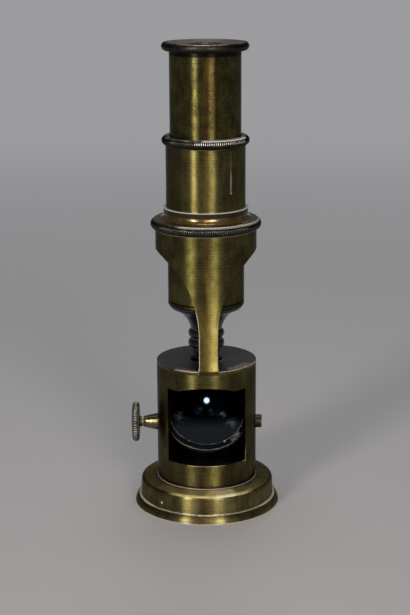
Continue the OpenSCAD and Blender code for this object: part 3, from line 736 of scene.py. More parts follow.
@dataclass(frozen=True)
class AgedMetal:
    """Turned metal under an old finish that has darkened, flecked and worn through.

    Attributes:
        name: The finish in a maker's words.
        deep: Its colour where the tarnish is deepest.
        film: Its colour where the finish is clearest.
        bare: The metal's colour where the finish has worn off, and of the highlights painted as wear.
        speck: The colour of the small spots of corrosion.
        dirt: The colour of what lies in grooves and corners, and of the shade painted with the dirt mark.
        slot: The record's slot that it stands for.
        inside: The colour of the inner side, also painted as shade on some outer faces.
        other: The deep and the clear colour of the piece's other finish, or of the tone of its painted
            highlights, where its mark says so.
        metal: How metallic the finished surface looks.
        rough: The finished surface's roughness.
        rough_spread: How far the roughness varies from place to place.
        cloud: The size of the clouds in the tarnish.
        grain: How strongly a fine grain of pits breaks up the colour.
        grain_size: The size of those pits.
        speck_size: The distance between the specks' cells.
        speck_share: The share of the cells that hold a speck.
        line: The spacing of the turning lines.
        line_depth: The depth of those lines.
        drawn: How far the lines stretch the highlights along the axis.
        worn: How far convex edges have worn through.
        bare_metal: How metallic a worn place is. Fine scratches scatter the rest of its light.
        other_metal: How metallic the other finish is.
        coat: The weight of the clear lacquer on top.
        shine: The specular level of what isn't bare metal.
        edge: How bright the metal's reflections stay at a grazing angle. Old lacquer dulls them.
        shift: Moves the patterns, so that two finishes differ.
    """

    name: str
    deep: str
    film: str
    bare: str
    speck: str
    dirt: str
    slot: Slot = Slot.LACQUERED
    inside: str = "060606"
    other: tuple[str, str] | None = None
    metal: float = 1.0
    rough: float = 0.5
    rough_spread: float = 0.06
    cloud: float = 9.0
    grain: float = 0.3
    grain_size: float = 0.7
    speck_size: float = 0.9
    speck_share: float = 0.5
    line: float = 0.3
    line_depth: float = 0.004
    drawn: float = 0.95
    worn: float = 0.85
    bare_metal: float = 0.6
    other_metal: float = 1.0
    coat: float = 0.2
    shine: float = 0.5
    edge: float = 0.4
    shift: float = 0.0

    # The shares of clouds, streaks and lines in the shade, and the shades that show as deep and as clear
    SHADE_SHARES = (0.55, 0.45, 0.6)
    SHADE_RANGE = (0.28, 0.72)
    # From where to where wear and painted highlights show as worn through, and dirt and painted shade as
    # lying there
    RUB_RANGE = (0.32, 0.72)
    DIRT_RANGE = (0.3, 0.95)
    # How far specks and dirt cover the colour
    SPECK_COVER, DIRT_COVER = 0.8, 0.85
    # What lines, specks, rubbing and dirt add to the roughness
    LINE_ROUGH, SPECK_ROUGH, RUB_ROUGH, DIRT_ROUGH = 0.14, 0.16, -0.08, 0.3
    # How far specks and pits rise in millimetres
    SPECK_RISE, PIT_RISE = -0.006, 0.004

    def build(self) -> bpy.types.Material:
        """Makes the material. The colour is laid on in the order in which the years laid it.

        The tarnish goes from deep to clear by clouds, streaks, pits and lines. The other finish and the tone
        of painted highlights come next, then specks, what has rubbed through or carries a painted highlight,
        dirt and painted shade, and the lining.

        Returns:
            The material.
        """
        weave = Weave(self.name)
        add = weave.add
        wear, grime, lining = (weave.carried(mark) for mark in (Mark.WEAR, Mark.GRIME, Mark.LINING))
        other = weave.carried(Mark.OTHER) if self.other else None
        clouds = weave.clouding(self.cloud, 5.0, 0.6, shift=self.shift)
        streaks = weave.clouding(self.cloud * 0.35, 4.0, 0.65, (1, 1, 0.22), self.shift + 7)
        pits = weave.clouding(self.grain_size, 3.0, 0.6, shift=self.shift + 3)
        lines = weave.turned_lines(self.line)
        pit, line = add("Math SUBTRACT", pits, 0.5), add("Math SUBTRACT", lines, 0.5)

        cloud_share, streak_share, line_share = self.SHADE_SHARES
        shade = add("Math MULTIPLY", streaks, streak_share)
        for pattern, share in ((clouds, cloud_share), (pit, self.grain), (line, line_share)):
            shade = add("Math MULTIPLY_ADD", pattern, share, shade)
        shade = add("MapRange SMOOTHSTEP", shade, *self.SHADE_RANGE)
        colour = add("Mix RGBA", shade, feed={6: self.deep, 7: self.film}, out=2)
        if self.other:
            second = add("Mix RGBA", shade, feed={6: self.other[0], 7: self.other[1]}, out=2)
            colour = add("Mix RGBA", other, feed={6: colour, 7: second}, out=2)
        big = weave.specks(self.speck_size, self.speck_share, self.shift)
        small = weave.specks(self.speck_size * 0.42, self.speck_share * 0.8, self.shift + 5)
        region = add("MapRange SMOOTHSTEP", weave.clouding(6.0, 2.0, shift=self.shift + 11), 0.38, 0.62)
        spots = add("Math MULTIPLY", add("Math MAXIMUM", big, small), region)
        # rub carries real wear and the highlights painted as wear; dirt carries real dirt and painted shade
        rub = add("MapRange SMOOTHSTEP", add("Math MULTIPLY_ADD", pit, 0.7, wear), *self.RUB_RANGE)
        rub = add("Math MULTIPLY", rub, self.worn)
        dirt = add("MapRange SMOOTHSTEP", add("Math MULTIPLY_ADD", clouds, 0.3, grime), *self.DIRT_RANGE)
        for share, top in ((add("Math MULTIPLY", spots, self.SPECK_COVER), self.speck), (rub, self.bare),
                           (add("Math MULTIPLY", dirt, self.DIRT_COVER), self.dirt), (lining, self.inside)):
            colour = add("Mix RGBA", share, feed={6: colour, 7: top}, out=2)

        rough = add("MapRange SMOOTHSTEP", clouds, 0.3, 0.7, self.rough + self.rough_spread,
                    self.rough - self.rough_spread * 0.5)
        for share, amount in ((line, self.LINE_ROUGH), (spots, self.SPECK_ROUGH), (rub, self.RUB_ROUGH)):
            rough = add("Math MULTIPLY_ADD", share, amount, rough)
        dull = add("Math MAXIMUM", dirt, lining)
        rough = add("Math MULTIPLY_ADD", dull, self.DIRT_ROUGH, rough, use_clamp=True)
        if self.other:
            metallic = add("MapRange", other, 0.0, 1.0, self.metal, self.other_metal)
            metallic = add("Math MULTIPLY_ADD", rub, self.bare_metal - 1, metallic, use_clamp=True)
        else:
            metallic = add("MapRange", rub, 0.0, 1.0, self.metal, self.bare_metal)
        metallic = add("Math SUBTRACT", metallic, lining, use_clamp=True)
        thinner = add("Math MAXIMUM", other, lining) if self.other else lining

        height = add("Math MULTIPLY", lines, self.line_depth)
        for pattern, rise in ((spots, self.SPECK_RISE), (pits, self.PIT_RISE)):
            height = add("Math MULTIPLY_ADD", pattern, rise, height)
        return weave.finish(add("BsdfPrincipled", feed={
            "Base Color": colour,
            "Metallic": metallic,
            "Roughness": rough,
            "Specular IOR Level": add("MapRange", lining, 0.0, 1.0, self.shine, self.shine * 0.2),
            "Specular Tint": (self.edge, self.edge, self.edge, 1.0),
            "Anisotropic": self.drawn,
            "Anisotropic Rotation": 0.25,
            "Tangent": add("Tangent", direction_type="UV_MAP", uv_map=TURNING),
            "Normal": add("Bump", feed={"Strength": 1.0, "Distance": MM, "Height": height}),
            "Coat Weight": add("MapRange", thinner, 0.0, 1.0, self.coat, self.coat * 0.3),
            "Coat Roughness": 0.22,
            "Coat IOR": 1.45,
        }))


@dataclass(frozen=True)
class OpticalGlass:
    """Polished crown glass with a light film of dust: clear, with sharp highlights and a grey bloom."""

    name: str = "polished crown glass"
    slot: Slot = Slot.LENS
    tint: str = "f2f6f4"

    def build(self) -> bpy.types.Material:
        """Makes the material.

        Returns:
            The material.
        """
        weave = Weave(self.name)
        dust = weave.add("MapRange SMOOTHSTEP", weave.clouding(2.2, 4.0, 0.7), 0.5, 0.75, 0.02, 0.14)
        return weave.finish(weave.add("BsdfPrincipled", feed={
            "Base Color": self.tint, "Transmission Weight": 1.0, "IOR": 1.52, "Roughness": dust}))


@dataclass(frozen=True)
class SilveredGlass:
    """Silvered plane glass gone smoky: a dark, sharp reflection under a slate film and dusty smudges."""

    name: str = "smoky silvered glass"
    slot: Slot = Slot.MIRROR
    silver: str = "3e4852"
    haze: str = "50565a"

    def build(self) -> bpy.types.Material:
        """Makes the material: dusty where the wear mark says, and clearer where the dirt mark does.

        Returns:
            The material.
        """
        weave = Weave(self.name)
        add = weave.add
        fine = add("MapRange SMOOTHSTEP", weave.clouding(0.35, 2.0, 0.6), 0.55, 0.8)
        cloudy = add("MapRange SMOOTHSTEP", weave.clouding(3.2, 5.0, 0.75, shift=2.0), 0.3, 0.85)
        smudges = add("Math MULTIPLY", weave.carried(Mark.WEAR), cloudy)
        dust = add("Math MULTIPLY_ADD", smudges, 0.9, add("Math MULTIPLY", fine, 0.06))
        clear = weave.carried(Mark.GRIME)
        metallic = add("MapRange SMOOTHSTEP", dust, 0.0, 0.6, 0.75, 0.1)
        return weave.finish(add("BsdfPrincipled", feed={
            "Base Color": add("Mix RGBA", dust, feed={6: self.silver, 7: self.haze}, out=2),
            "Roughness": add("MapRange SMOOTHSTEP", dust, 0.0, 0.6, 0.06, 0.8),
            "Metallic": add("Math MULTIPLY_ADD", clear, 0.25, metallic, use_clamp=True),
            "Coat Weight": add("MapRange", clear, 0.0, 1.0, 0.3, 0.05),
            "Coat Roughness": 0.03}))


# Drawn and turned brass under yellow lacquer that has gone olive and brown, with its gold left in the light
# Its paler other tone paints a highlight low on the front of the body tube
LACQUERED_BRASS = AgedMetal(
    "tarnished lacquered brass", deep="3c321a", film="6e683a", bare="d8cca4", speck="12100a", dirt="15110b",
    other=("5c5229", "968c4e"), rough=0.42)
# The sleeve was rubbed smoother and paler by the hand that turns the tube in it
SLEEVE_BRASS = AgedMetal(
    "smooth brass of the sleeve", deep="3e341a", film="7a7140", bare="f0ead4", speck="12100a", dirt="15110b",
    rough=0.37, speck_share=0.35, shift=67.0)
# The foot is the same brass, greyer and with its edges rubbed pale by tables; its pale other tone is painted
# highlight
FOOT_BRASS = AgedMetal(
    "rubbed brass of the foot", deep="463d26", film="857b48", bare="f2ecd2", speck="15120c", dirt="15110b",
    other=("b09c60", "e0d296"), other_metal=0.2, bare_metal=0.45, rough=0.34, cloud=7.0, shift=23.0)
# The eyepiece tube has the same lacquer, pitted all over where hands drew it out
# Its browner other tone is painted into the stripe where the right lamp's highlight falls
PITTED_BRASS = AgedMetal(
    "pitted lacquered brass", deep="2a220e", film="686130", bare="a89a68", speck="0c0a06", dirt="0c0a07",
    other=("221a0c", "554626"), rough=0.33, grain=1.0, grain_size=0.38, speck_size=0.7, speck_share=0.8,
    cloud=5.0, shift=19.0)
# The arms' brass; its paler other tone is painted highlight on the arms' fronts and a lighter tone low on
# them
ARM_BRASS = AgedMetal(
    "handled brass of the arms", deep="42361c", film="706a38", bare="f4ecd0", speck="241b10", dirt="24160c",
    other=("8a7e40", "bcac66"), rough=0.42, cloud=6.0, shift=31.0)
# The collar keeps a copper tone in its ogee, and its milled edge has darkened to gunmetal
MILLED_BRASS = AgedMetal(
    "finger-worn milled brass", deep="54401f", film="a0864c", bare="fffdf6", speck="15120d", dirt="0d0c0a",
    slot=Slot.MILLED, other=("201f17", "3c3a2a"), metal=0.84, rough=0.2, rough_spread=0.04, drawn=0.1,
    worn=1.0, bare_metal=0.2, coat=1.0, shift=13.0)
# The knob and the rod have lost all lacquer and gone a greenish grey
GREYED_BRASS = AgedMetal(
    "greyed bare brass", deep="504f47", film="979a90", bare="d8dad0", speck="15150f", dirt="0f100c",
    slot=Slot.MILLED, other=("4a4430", "8c8468"), rough=0.4, drawn=0.3, worn=0.4, grain=0.9, coat=0.1,
    shift=41.0)
# The turned bearings are dull brass with a smooth, pale shine
BEARING_BRASS = AgedMetal(
    "turned bearing brass", deep="4c4630", film="8a8460", bare="d8d0a8", speck="15120d", dirt="12100a",
    slot=Slot.MILLED, rough=0.24, drawn=0.6, worn=0.4, coat=0.3, shift=53.0)
# The cap was bronzed nearly black brown, and its dull shine is broken up by handling
DARK_BRONZE = AgedMetal(
    "dark bronzed brass", deep="1c1916", film="46413b", bare="c8bca4", speck="0a0806", dirt="080706",
    slot=Slot.BRONZE, other=("6e645c", "948a82"), other_metal=0.5, rough=0.44, rough_spread=0.12, drawn=0.3,
    worn=0.6, grain=0.8, coat=0.2, shift=47.0)
# Black lacquer over brass on the nose cone and the objective cells: satin black with grey-blue highlights
BLACK_BRASS = AgedMetal(
    "black lacquered brass", deep="0b0c0f", film="1c1e23", bare="8f8878", speck="050505", dirt="050505",
    slot=Slot.BLACK_BRASS, metal=0.3, rough=0.34, drawn=0.2, worn=0.16, speck_share=0.2, coat=0.35,
    shine=0.35, edge=1.0, shift=61.0)
# The mirror's bezel is painted a matt black, with its edges rubbed to a thin grey line
BEZEL_BLACK = AgedMetal(
    "matt black bezel paint", deep="060607", film="0d0e10", bare="b0b2bc", speck="050505", dirt="050505",
    slot=Slot.BLACK_BRASS, metal=0.0, rough=0.62, drawn=0.0, worn=0.9, speck_share=0.2, coat=0.0,
    shine=0.02, edge=1.0, shift=71.0)
# The stage's black paint is satin, scratched by slides, and worn to the metal round its rim
STAGE_PAINT = AgedMetal(
    "slide-worn black stage paint", deep="1b1e25", film="2a2e37", bare="cfc4ba", speck="6a625c",
    dirt="0b0b0b", slot=Slot.PAINT, other=("3c321a", "6e683a"), metal=0.0, rough=0.3, worn=0.9, drawn=0.0,
    speck_share=0.3, coat=0.0, shine=0.25, edge=1.0, shift=83.0)
# Cast lead has a dull blue-grey skin
CAST_LEAD = AgedMetal(
    "cast lead", deep="4b4d50", film="6a6c70", bare="8f9194", speck="36373a", dirt="2a2a2b",
    slot=Slot.LEAD, rough=0.6, drawn=0.0, coat=0.0, speck_size=1.6, shift=97.0)
# Soft solder stands as a thin pinkish-grey line round the joint
SOFT_SOLDER = AgedMetal(
    "dull soft solder", deep="44372f", film="9c8e88", bare="d6ccc6", speck="3a3028", dirt="4a4038",
    slot=Slot.LEAD, rough=0.45, drawn=0.0, coat=0.0, cloud=3.0, grain=0.9, speck_size=0.8, shift=5.0)


Finish = AgedMetal | OpticalGlass | SilveredGlass


class Workshop:
    """Makes the pieces of the microscope and keeps the materials, so that each is built once."""

    def __init__(self) -> None:
        """Starts with no materials."""
        self.materials: dict[str, bpy.types.Material] = {}

    def piece(self, name: str, surface: Surface, body: Body, finish: Finish, slot: Slot | None = None,
              stands_for: bool = True, bevel: float = 0.0) -> None:
        """Makes one finished piece on a body.

        Args:
            name: The piece's name, which is the solid's where it stands for one.
            surface: Its surface.
            body: The body that it moves with.
            finish: Its finish. The material is built when the finish is first used.
            slot: The record's slot for the piece. It is not used.
            stands_for: True where it takes the place of the solid of that name.
            bevel: The width of the bevel on its sharp edges.
        """
        made = write_mesh(f"finished_{name}", surface, bevel)
        if finish.name not in self.materials:
            self.materials[finish.name] = finish.build()
        made.data.materials.append(self.materials[finish.name])
        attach(made, body.value)
        if stands_for:
            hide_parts(name)
        LOG.info("%s: %d faces on %s", made.name, len(made.data.polygons), body.value)

    def turned(self, name: str, corners: Corners, body: Body, finish: Finish, rounding: float = 0.1) -> None:
        """Turns a plain closed outline into the finished piece that stands for the solid of its name."""
        self.piece(name, revolve(trace(corners, rounding)), body, finish)

    def tube(self, name: str, radius: float, bore: float, body: Body, finish: Finish,
             rounding: float = 0.1) -> None:
        """Turns a plain tube, ring or disc between the heights of the solid of its name."""
        box = extent(name)
        self.turned(name, tube_corners(radius, bore, box.bottom, box.top), body, finish, rounding)


@dataclass
class Stand:
    """The foot, the drum with its stage, the barrel's arms, the collar and the sleeve."""

    shop: Workshop
    flange_h: float = 3.1
    flange_r: float = 26.65
    flange_swell: float = 0.42
    plinth_r: float = 26.15
    plinth_taper: float = 0.25
    plinth_round: float = 1.3
    shoulder_fall: float = 0.55
    solder_bead: float = 0.34
    tube_wall: float = TUBE_WALL
    window_w: float = 29.8
    window_h: float = 29.4
    window_sill: float = 9.5
    arch_w: float = 21.0
    arch_rise: float = 1.9
    stage_hole_r: float = 6.35
    stage_rim_h: float = 2.0
    stage_rim_wall: float = 1.8
    stage_rows: tuple[float, ...] = (17.2, 15.5, 13.8, 12.0, 10.2, 8.6)
    arm_w: float = 7.1
    arm_flare: float = 0.35
    arm_flare_h: float = 3.0
    arch_start: float = 12.0
    arch_power: float = 2.25
    band_h: float = 7.4
    frame_turn: float = 2.5
    collar_roll: float = 1.8
    collar_roll_h: float = 2.1
    collar_edge_r: float = 20.3
    collar_edge_h: float = 3.6
    ogee_w: float = 1.4
    ogee_h: float = 0.6
    ogee_rise: float = 2.3
    ogee_hollow: float = 0.8
    neck_wall: float = 0.98
    lip_h: float = 0.35
    lip_out: float = 0.12
    sleeve_wall: float = 0.44
    slit_count: int = 3
    slit_len: float = 16.3
    slit_w: float = 0.25
    slit_hole_r: float = 0.35
    slit_turn: float = 38.0
    mill_pitch: float = 0.82
    mill_depth: float = 0.22
    mill_band: float = 1.1
    # The foot's marks, mostly painted highlights: on the flange's ledge, low on it, all over, above it, on
    # the slope and on the ridge
    ledge_rub: Patch = Patch(Mark.WEAR, ((-0.42, -46, 46, 20),), 1.0)
    flange_gleam: Patch = Patch(Mark.OTHER, ((0.12, -9, 24, 6),), 0.02)
    side_gleam: Patch = Patch(Mark.OTHER, ((0.04, 32, 90, 24),))
    plinth_gleam: Patch = Patch(Mark.OTHER, ((0.18, -13, -8, 3), (0.13, 10, 22, 6)))
    slope_gleam: Patch = Patch(Mark.OTHER, ((0.22, -44, 40, 14),), 0.15)
    slope_patch: Patch = Patch(Mark.OTHER, ((0.95, 4, 24, 12),))
    ridge_gleam: Patch = Patch(Mark.OTHER, ((1.0, -26, 34, 14),))
    ridge_rub: Patch = Patch(Mark.WEAR, ((0.38, -20, 32, 12), (0.5, 11, 23, 5)))
    # A chip on the plinth: its angle, height, radius and strength
    chip: tuple[float, float, float, float] = (-42.2, 5.6, 0.55, 1.2)
    # Where slides have scuffed the stage: the inner radius, and what they rubbed off round it
    scuffs: tuple[tuple[float, Patch], ...] = (
        (18.6, Patch(Mark.WEAR, ((0.75, -30, -12, 7),))),
        (16.0, Patch(Mark.WEAR, ((0.38, -40, -16, 7),))),
        (9.0, Patch(Mark.WEAR, ((0.33, 62, 112, 7),))),
        (15.5, Patch(Mark.WEAR, ((0.45, 30, 66, 7),))),
    )
    # The painted highlights on the arms and a lighter tone low on them: how high over the stage each ends,
    # its fade, and its strength round the axis
    arm_gleams: tuple[tuple[float, float, Patch], ...] = (
        (3.5, 3.0, Patch(Mark.OTHER, ((1.0, 4.5, 11, 6),))),
        (16.0, 12.0, Patch(Mark.OTHER, level=0.5)),
        (28.0, 12.0, Patch(Mark.OTHER, ((0.5, 3, 11, 5),))),
    )
    # The bright line on the collar's crest: rubbed metal and painted highlight, brighter to the right
    crest_rub: Patch = Patch(Mark.WEAR, ((0.62, -22, 85, 16),), 0.38)
    neck_shade: Patch = Patch(Mark.LINING, level=0.92)
    # Painted shade on the sleeve's left side, laid as dirt
    sleeve_dirt: Patch = Patch(Mark.GRIME, ((0.34, -80, -42, 12),))

    def __post_init__(self) -> None:
        """Takes the main heights and radii from the frame."""
        foot, drum, lead = extent("foot"), extent("drum_shell"), extent("lead_ballast")
        self.foot_r, self.foot_top = foot.radius, foot.top
        self.lead_r, self.lead_top = lead.radius, lead.top
        self.tube_r = drum.radius
        self.tube_bore = self.tube_r - self.tube_wall
        self.drum_top = drum.top
        self.stage_top = extent("stage_plate").top
        self.barrel_top = extent("barrel_frame").top
        self.collar = extent("slide_collar")
        self.sleeve = extent("spring_sleeve")
        self.sleeve_r = self.sleeve.radius
        self.arm_turn = math.asin(self.arm_w / 2 / self.tube_r)
        self.flare_turn = math.asin((self.arm_w / 2 + self.arm_flare) / self.tube_r) - self.arm_turn

    def build(self) -> None:
        """Makes all pieces of the stand."""
        self.build_foot()
        self.build_drum()
        self.build_stage()
        self.build_frame()
        self.build_collar()
        self.build_sleeve()

    def build_foot(self) -> None:
        """Turns the foot with its lead, the drum's floor and the line of solder round the drum."""
        top_r = self.plinth_r - self.plinth_taper
        ridge_z = self.foot_top - self.shoulder_fall
        shoulder = (top_r - self.plinth_round, ridge_z)
        rim, flange = (self.foot_r, 0.0), (self.flange_r, self.flange_h)
        plinth, plinth_top = (self.plinth_r, self.flange_h), (top_r, ridge_z - self.plinth_round)
        foot = revolve(trace([
            (self.lead_r, 0.0), (*rim, 0.12), *swell(rim, flange, self.flange_swell), (*flange, 0.14),
            (*plinth, 0.1), *swell(plinth, plinth_top, 0.0, 9), plinth_top,
            *swell(plinth_top, shoulder, self.plinth_round * ROUND_RISE), (*shoulder, 0.6),
            (self.tube_r, self.foot_top), (self.tube_r, self.lead_top), (self.lead_r, self.lead_top),
        ]), around(360))
        self.mark_foot(foot, *shoulder)
        self.shop.piece("foot", foot, Body.STAND, FOOT_BRASS)
        self.shop.tube("lead_ballast", self.lead_r, 0, Body.STAND, CAST_LEAD)
        self.shop.tube("floor_plate", extent("floor_plate").radius, 0, Body.STAND, STAGE_PAINT)
        start = (self.tube_r + self.solder_bead, self.foot_top - 0.04)
        end = (self.tube_r, self.foot_top + self.solder_bead)
        solder = trace([(self.tube_r, self.foot_top - 0.02), start, *swell(start, end, -0.1, 4), end], 0.02)
        self.shop.piece("solder_line", revolve(solder), Body.STAND, SOFT_SOLDER, Slot.LEAD, stands_for=False)

    def mark_foot(self, foot: Surface, shoulder_r: float, shoulder_z: float) -> None:
        """Lays the foot's marks: pale edges where tables rubbed it, the ledge brighter at the sides as
        painted highlight, a painted highlight line on the ridge, and painted highlights in paler brass on the
        flange, plinth, slope and ridge.

        Args:
            foot: The foot's surface.
            shoulder_r: The radius at which the slope begins.
            shoulder_z: The height of that edge.
        """
        reach, height = foot.reach, foot.height
        outer = reach > self.tube_r + 0.1
        ledge = within(height, self.flange_h - 0.1, self.flange_h + 0.1, 0.2) * (reach > self.plinth_r - 0.1)
        foot.spare(1 - ledge, Mark.GRIME).spare(1 - ledge).lay(self.ledge_rub, ledge)
        foot.lay(self.flange_gleam, within(height, 0.2, 1.5, 1.2) * (reach > self.plinth_r))
        foot.lay(self.side_gleam, outer)
        foot.lay(self.plinth_gleam, outer * (height > self.flange_h))
        slope = within(reach, self.tube_r + 1.0, shoulder_r, 0.6) * (height > shoulder_z - 0.05)
        foot.lay(self.slope_gleam, slope).lay(self.slope_patch, slope)
        ridge = within(reach, shoulder_r - 0.4, shoulder_r + 0.8, 0.4) * (height > self.flange_h + 1)
        foot.lay(self.ridge_gleam, ridge).lay(self.ridge_rub, ridge)
        chip_turn, chip_z, chip_r, chip_wear = self.chip
        away = np.hypot(np.radians(foot.turn - chip_turn) * reach, height - chip_z)
        foot.mark(Mark.WEAR, outer * chip_wear * np.exp(-((away / chip_r) ** 2)))

    def window_top(self, x: np.ndarray) -> np.ndarray:
        """Gives the height of the window's upper edge: level, with a circle's arc in the middle.

        Args:
            x: Places from the window's middle to the right.

        Returns:
            The heights.
        """
        ball = (self.arch_w**2 / 4 + self.arch_rise**2) / (2 * self.arch_rise)
        rise = np.sqrt(np.maximum(ball**2 - x**2, 0)) - (ball - self.arch_rise)
        level = self.foot_top + self.window_sill + self.window_h
        return level + np.where(np.abs(x) <= self.arch_w / 2, np.maximum(rise, 0), 0)

    def build_drum(self) -> None:
        """Makes the drum's wall with its window.

        The columns in the window stand at equal x on both sides of the wall, so the cheeks of the window are
        parallel as a saw leaves them. Behind the window the columns share out the rest of the turn. The rows
        above the window follow its arched edge.
        """
        half, flank = self.window_w / 2, self.arch_w / 2
        x = np.concatenate([spaced(-half, -flank, 3), np.linspace(-flank, flank, 41)[1:-1],
                            spaced(flank, half, 3)])
        rest = spaced(0.0, 1000.0, 110) / 1000.0
        sill = self.foot_top + self.window_sill
        level = sill + self.window_h
        rows = np.concatenate([spaced(self.lead_top, sill, 5), spaced(sill, level, 14)[1:],
                               spaced(level, self.drum_top, 4)[1:]])
        across = np.concatenate([x, np.full(len(rest) - 1, half)])
        top = self.window_top(across)
        share = np.interp(rows, [sill, level, self.drum_top], [0.0, 1.0, 0.0])
        share[rows <= sill] = 0.0
        heights = rows[:, None] + share[:, None] * (top - level)[None, :]

        def columns(radius: float) -> np.ndarray:
            """The columns' angles on a cylinder of the given radius."""
            edge = math.asin(half / radius)
            return np.concatenate([np.arcsin(x / radius), edge + rest[1:] * (TURN - 2 * edge)])

        outer_angles = np.broadcast_to(columns(self.tube_r), heights.shape)
        inner_angles = np.broadcast_to(columns(self.tube_bore), heights.shape)
        outer = ring_of(self.tube_r, outer_angles, heights)
        inner = ring_of(self.tube_bore, inner_angles, heights)
        keep = np.ones((len(rows) - 1, len(across) - 1), bool)
        in_rows = (rows[:-1] >= sill - TINY) & (rows[:-1] < level - TINY)
        keep[np.ix_(in_rows, np.arange(len(across) - 1) < len(x) - 1)] = False
        arc_x = np.arcsin(x / self.tube_r) * self.tube_r
        border = densely(np.concatenate([
            np.stack([arc_x, self.window_top(x)], 1),
            [[arc_x[-1], sill], [arc_x[0], sill], [arc_x[0], level]]]))
        unrolled = np.stack([outer_angles * self.tube_r, heights], axis=2)
        wear = nearness(unrolled, border, 0.3)
        wear = np.maximum(wear, nearness(unrolled - [TURN * self.tube_r, 0], border, 0.3))
        aside = self.tube_r * np.sin(outer_angles)
        lip = within(heights, sill - 1.0, sill + 0.6, 0.3) * within(aside, -6.5, 6.5, 3.0)
        # The window's right cheek carries a painted highlight line, laid as wear
        cheek = within(heights, sill - 0.4, sill + 5.0, 0.6) * within(aside, half - 0.6, half + 1.0, 0.4)
        wear *= np.maximum(0.14, np.maximum(0.75 * lip, cheek))
        drum = shell(outer, inner, keep, outer_angles, wear)
        low = np.exp(-np.maximum(drum.height - self.foot_top, 0) / 0.5)
        drum.mark(Mark.GRIME, low * drum.outside)
        self.shop.piece("drum_shell", drum, Body.STAND, LACQUERED_BRASS, bevel=0.09)

    def build_stage(self) -> None:
        """Turns the stage plate and notches its rim for the feet of the arms."""
        rim, top = self.tube_bore - DROP_IN_GAP, self.stage_top
        inner, under = rim - self.stage_rim_wall, self.drum_top - self.stage_rim_h
        outline = trace([
            (self.stage_hole_r, self.drum_top), (inner, self.drum_top), (inner, under), (rim, under),
            (rim, self.drum_top), (self.tube_r, self.drum_top, 0.05), (self.tube_r, top, 0.12),
            *((radius, top) for radius in self.stage_rows), (self.stage_hole_r, top, 0.12),
        ])
        notch = self.arm_turn + self.flare_turn
        feet, steps = np.linspace(-notch, notch, 13), np.linspace(notch, math.pi - notch, 72)
        turn = math.radians(self.frame_turn)
        angles = np.concatenate([turn + part for part in (feet, steps, feet + math.pi, steps + math.pi)])
        reach = np.tile(np.repeat([self.tube_bore, self.tube_r + 1], [len(feet), len(steps)]), 2)
        plate = revolve(outline, np.append(angles, angles[0] + TURN), np.append(reach, reach[0]))
        plate.mark(Mark.OTHER, (plate.reach > self.tube_r - 0.06) * (plate.height < top - 0.1))
        left, right = within(plate.turn, -36, -8, 6), 0.8 * within(plate.turn, 12, 72, 10)
        plate.spare(np.where(plate.height < top - 0.6, 0.0, 0.12 + 0.88 * np.maximum(left, right)))
        for inside, scuff in self.scuffs:
            plate.lay(scuff, within(plate.reach, inside, self.tube_r, 1.2) * (plate.height > top - 0.1))
        self.shop.piece("stage_plate", plate, Body.STAND, STAGE_PAINT)

    def staves(self, radius: float, bore: float, rows: np.ndarray, half_turn: np.ndarray, count: int,
               first: float, cells: int, fade: float = 0.3) -> Surface:
        """Makes a tube that is cut into staves over part of its height.

        Args:
            radius: The tube's outer radius.
            bore: Its inner radius.
            rows: The heights of its rows.
            half_turn: Half the angle that a stave takes up at each row. Staves that touch join.
            count: The number of staves.
            first: The angle of the first stave's middle.
            cells: The cells across half a stave.
            fade: How far the wear reaches from the cuts.

        Returns:
            The closed surface.
        """
        guards = GUARDS[GUARDS < 0.4 * half_turn.min() * radius]
        edge = half_turn[:, None] - np.concatenate([[0.0], guards])[None, :] / radius
        middle = edge[:, -1:] * np.linspace(1, 0, cells + 1)[None, 1:]
        half = np.concatenate([edge, middle], axis=1)
        across = np.concatenate([-half, half[:, -2::-1]], axis=1)
        centres = first + np.arange(count) * TURN / count
        angles = (centres[None, :, None] + across[:, None, :]).reshape(len(rows), -1)
        angles = np.concatenate([angles, angles[:, :1] + TURN], axis=1)
        heights = np.repeat(rows[:, None], angles.shape[1], axis=1)
        width = across.shape[1]
        is_open = half_turn < math.pi / count - TINY
        keep = np.ones((len(rows) - 1, angles.shape[1] - 1), bool)
        between = np.arange(width - 1, angles.shape[1] - 1, width)
        keep[np.ix_(is_open[:-1], between)] = False
        cut = np.flatnonzero(is_open)
        span = np.arange(max(cut.min() - 1, 0), min(cut.max() + 2, len(rows)))
        unrolled = np.stack([angles * radius, heights], axis=2)
        wear = np.zeros(heights.shape)
        for centre in np.append(centres, centres[0] + TURN):
            for side in (-1, 1):
                border = np.stack([(centre + side * half_turn[span]) * radius, rows[span]], 1)
                wear = np.maximum(wear, nearness(unrolled, densely(border, 0.05), fade))
        return shell(ring_of(radius, angles, heights), ring_of(bore, angles, heights), keep, angles, wear)

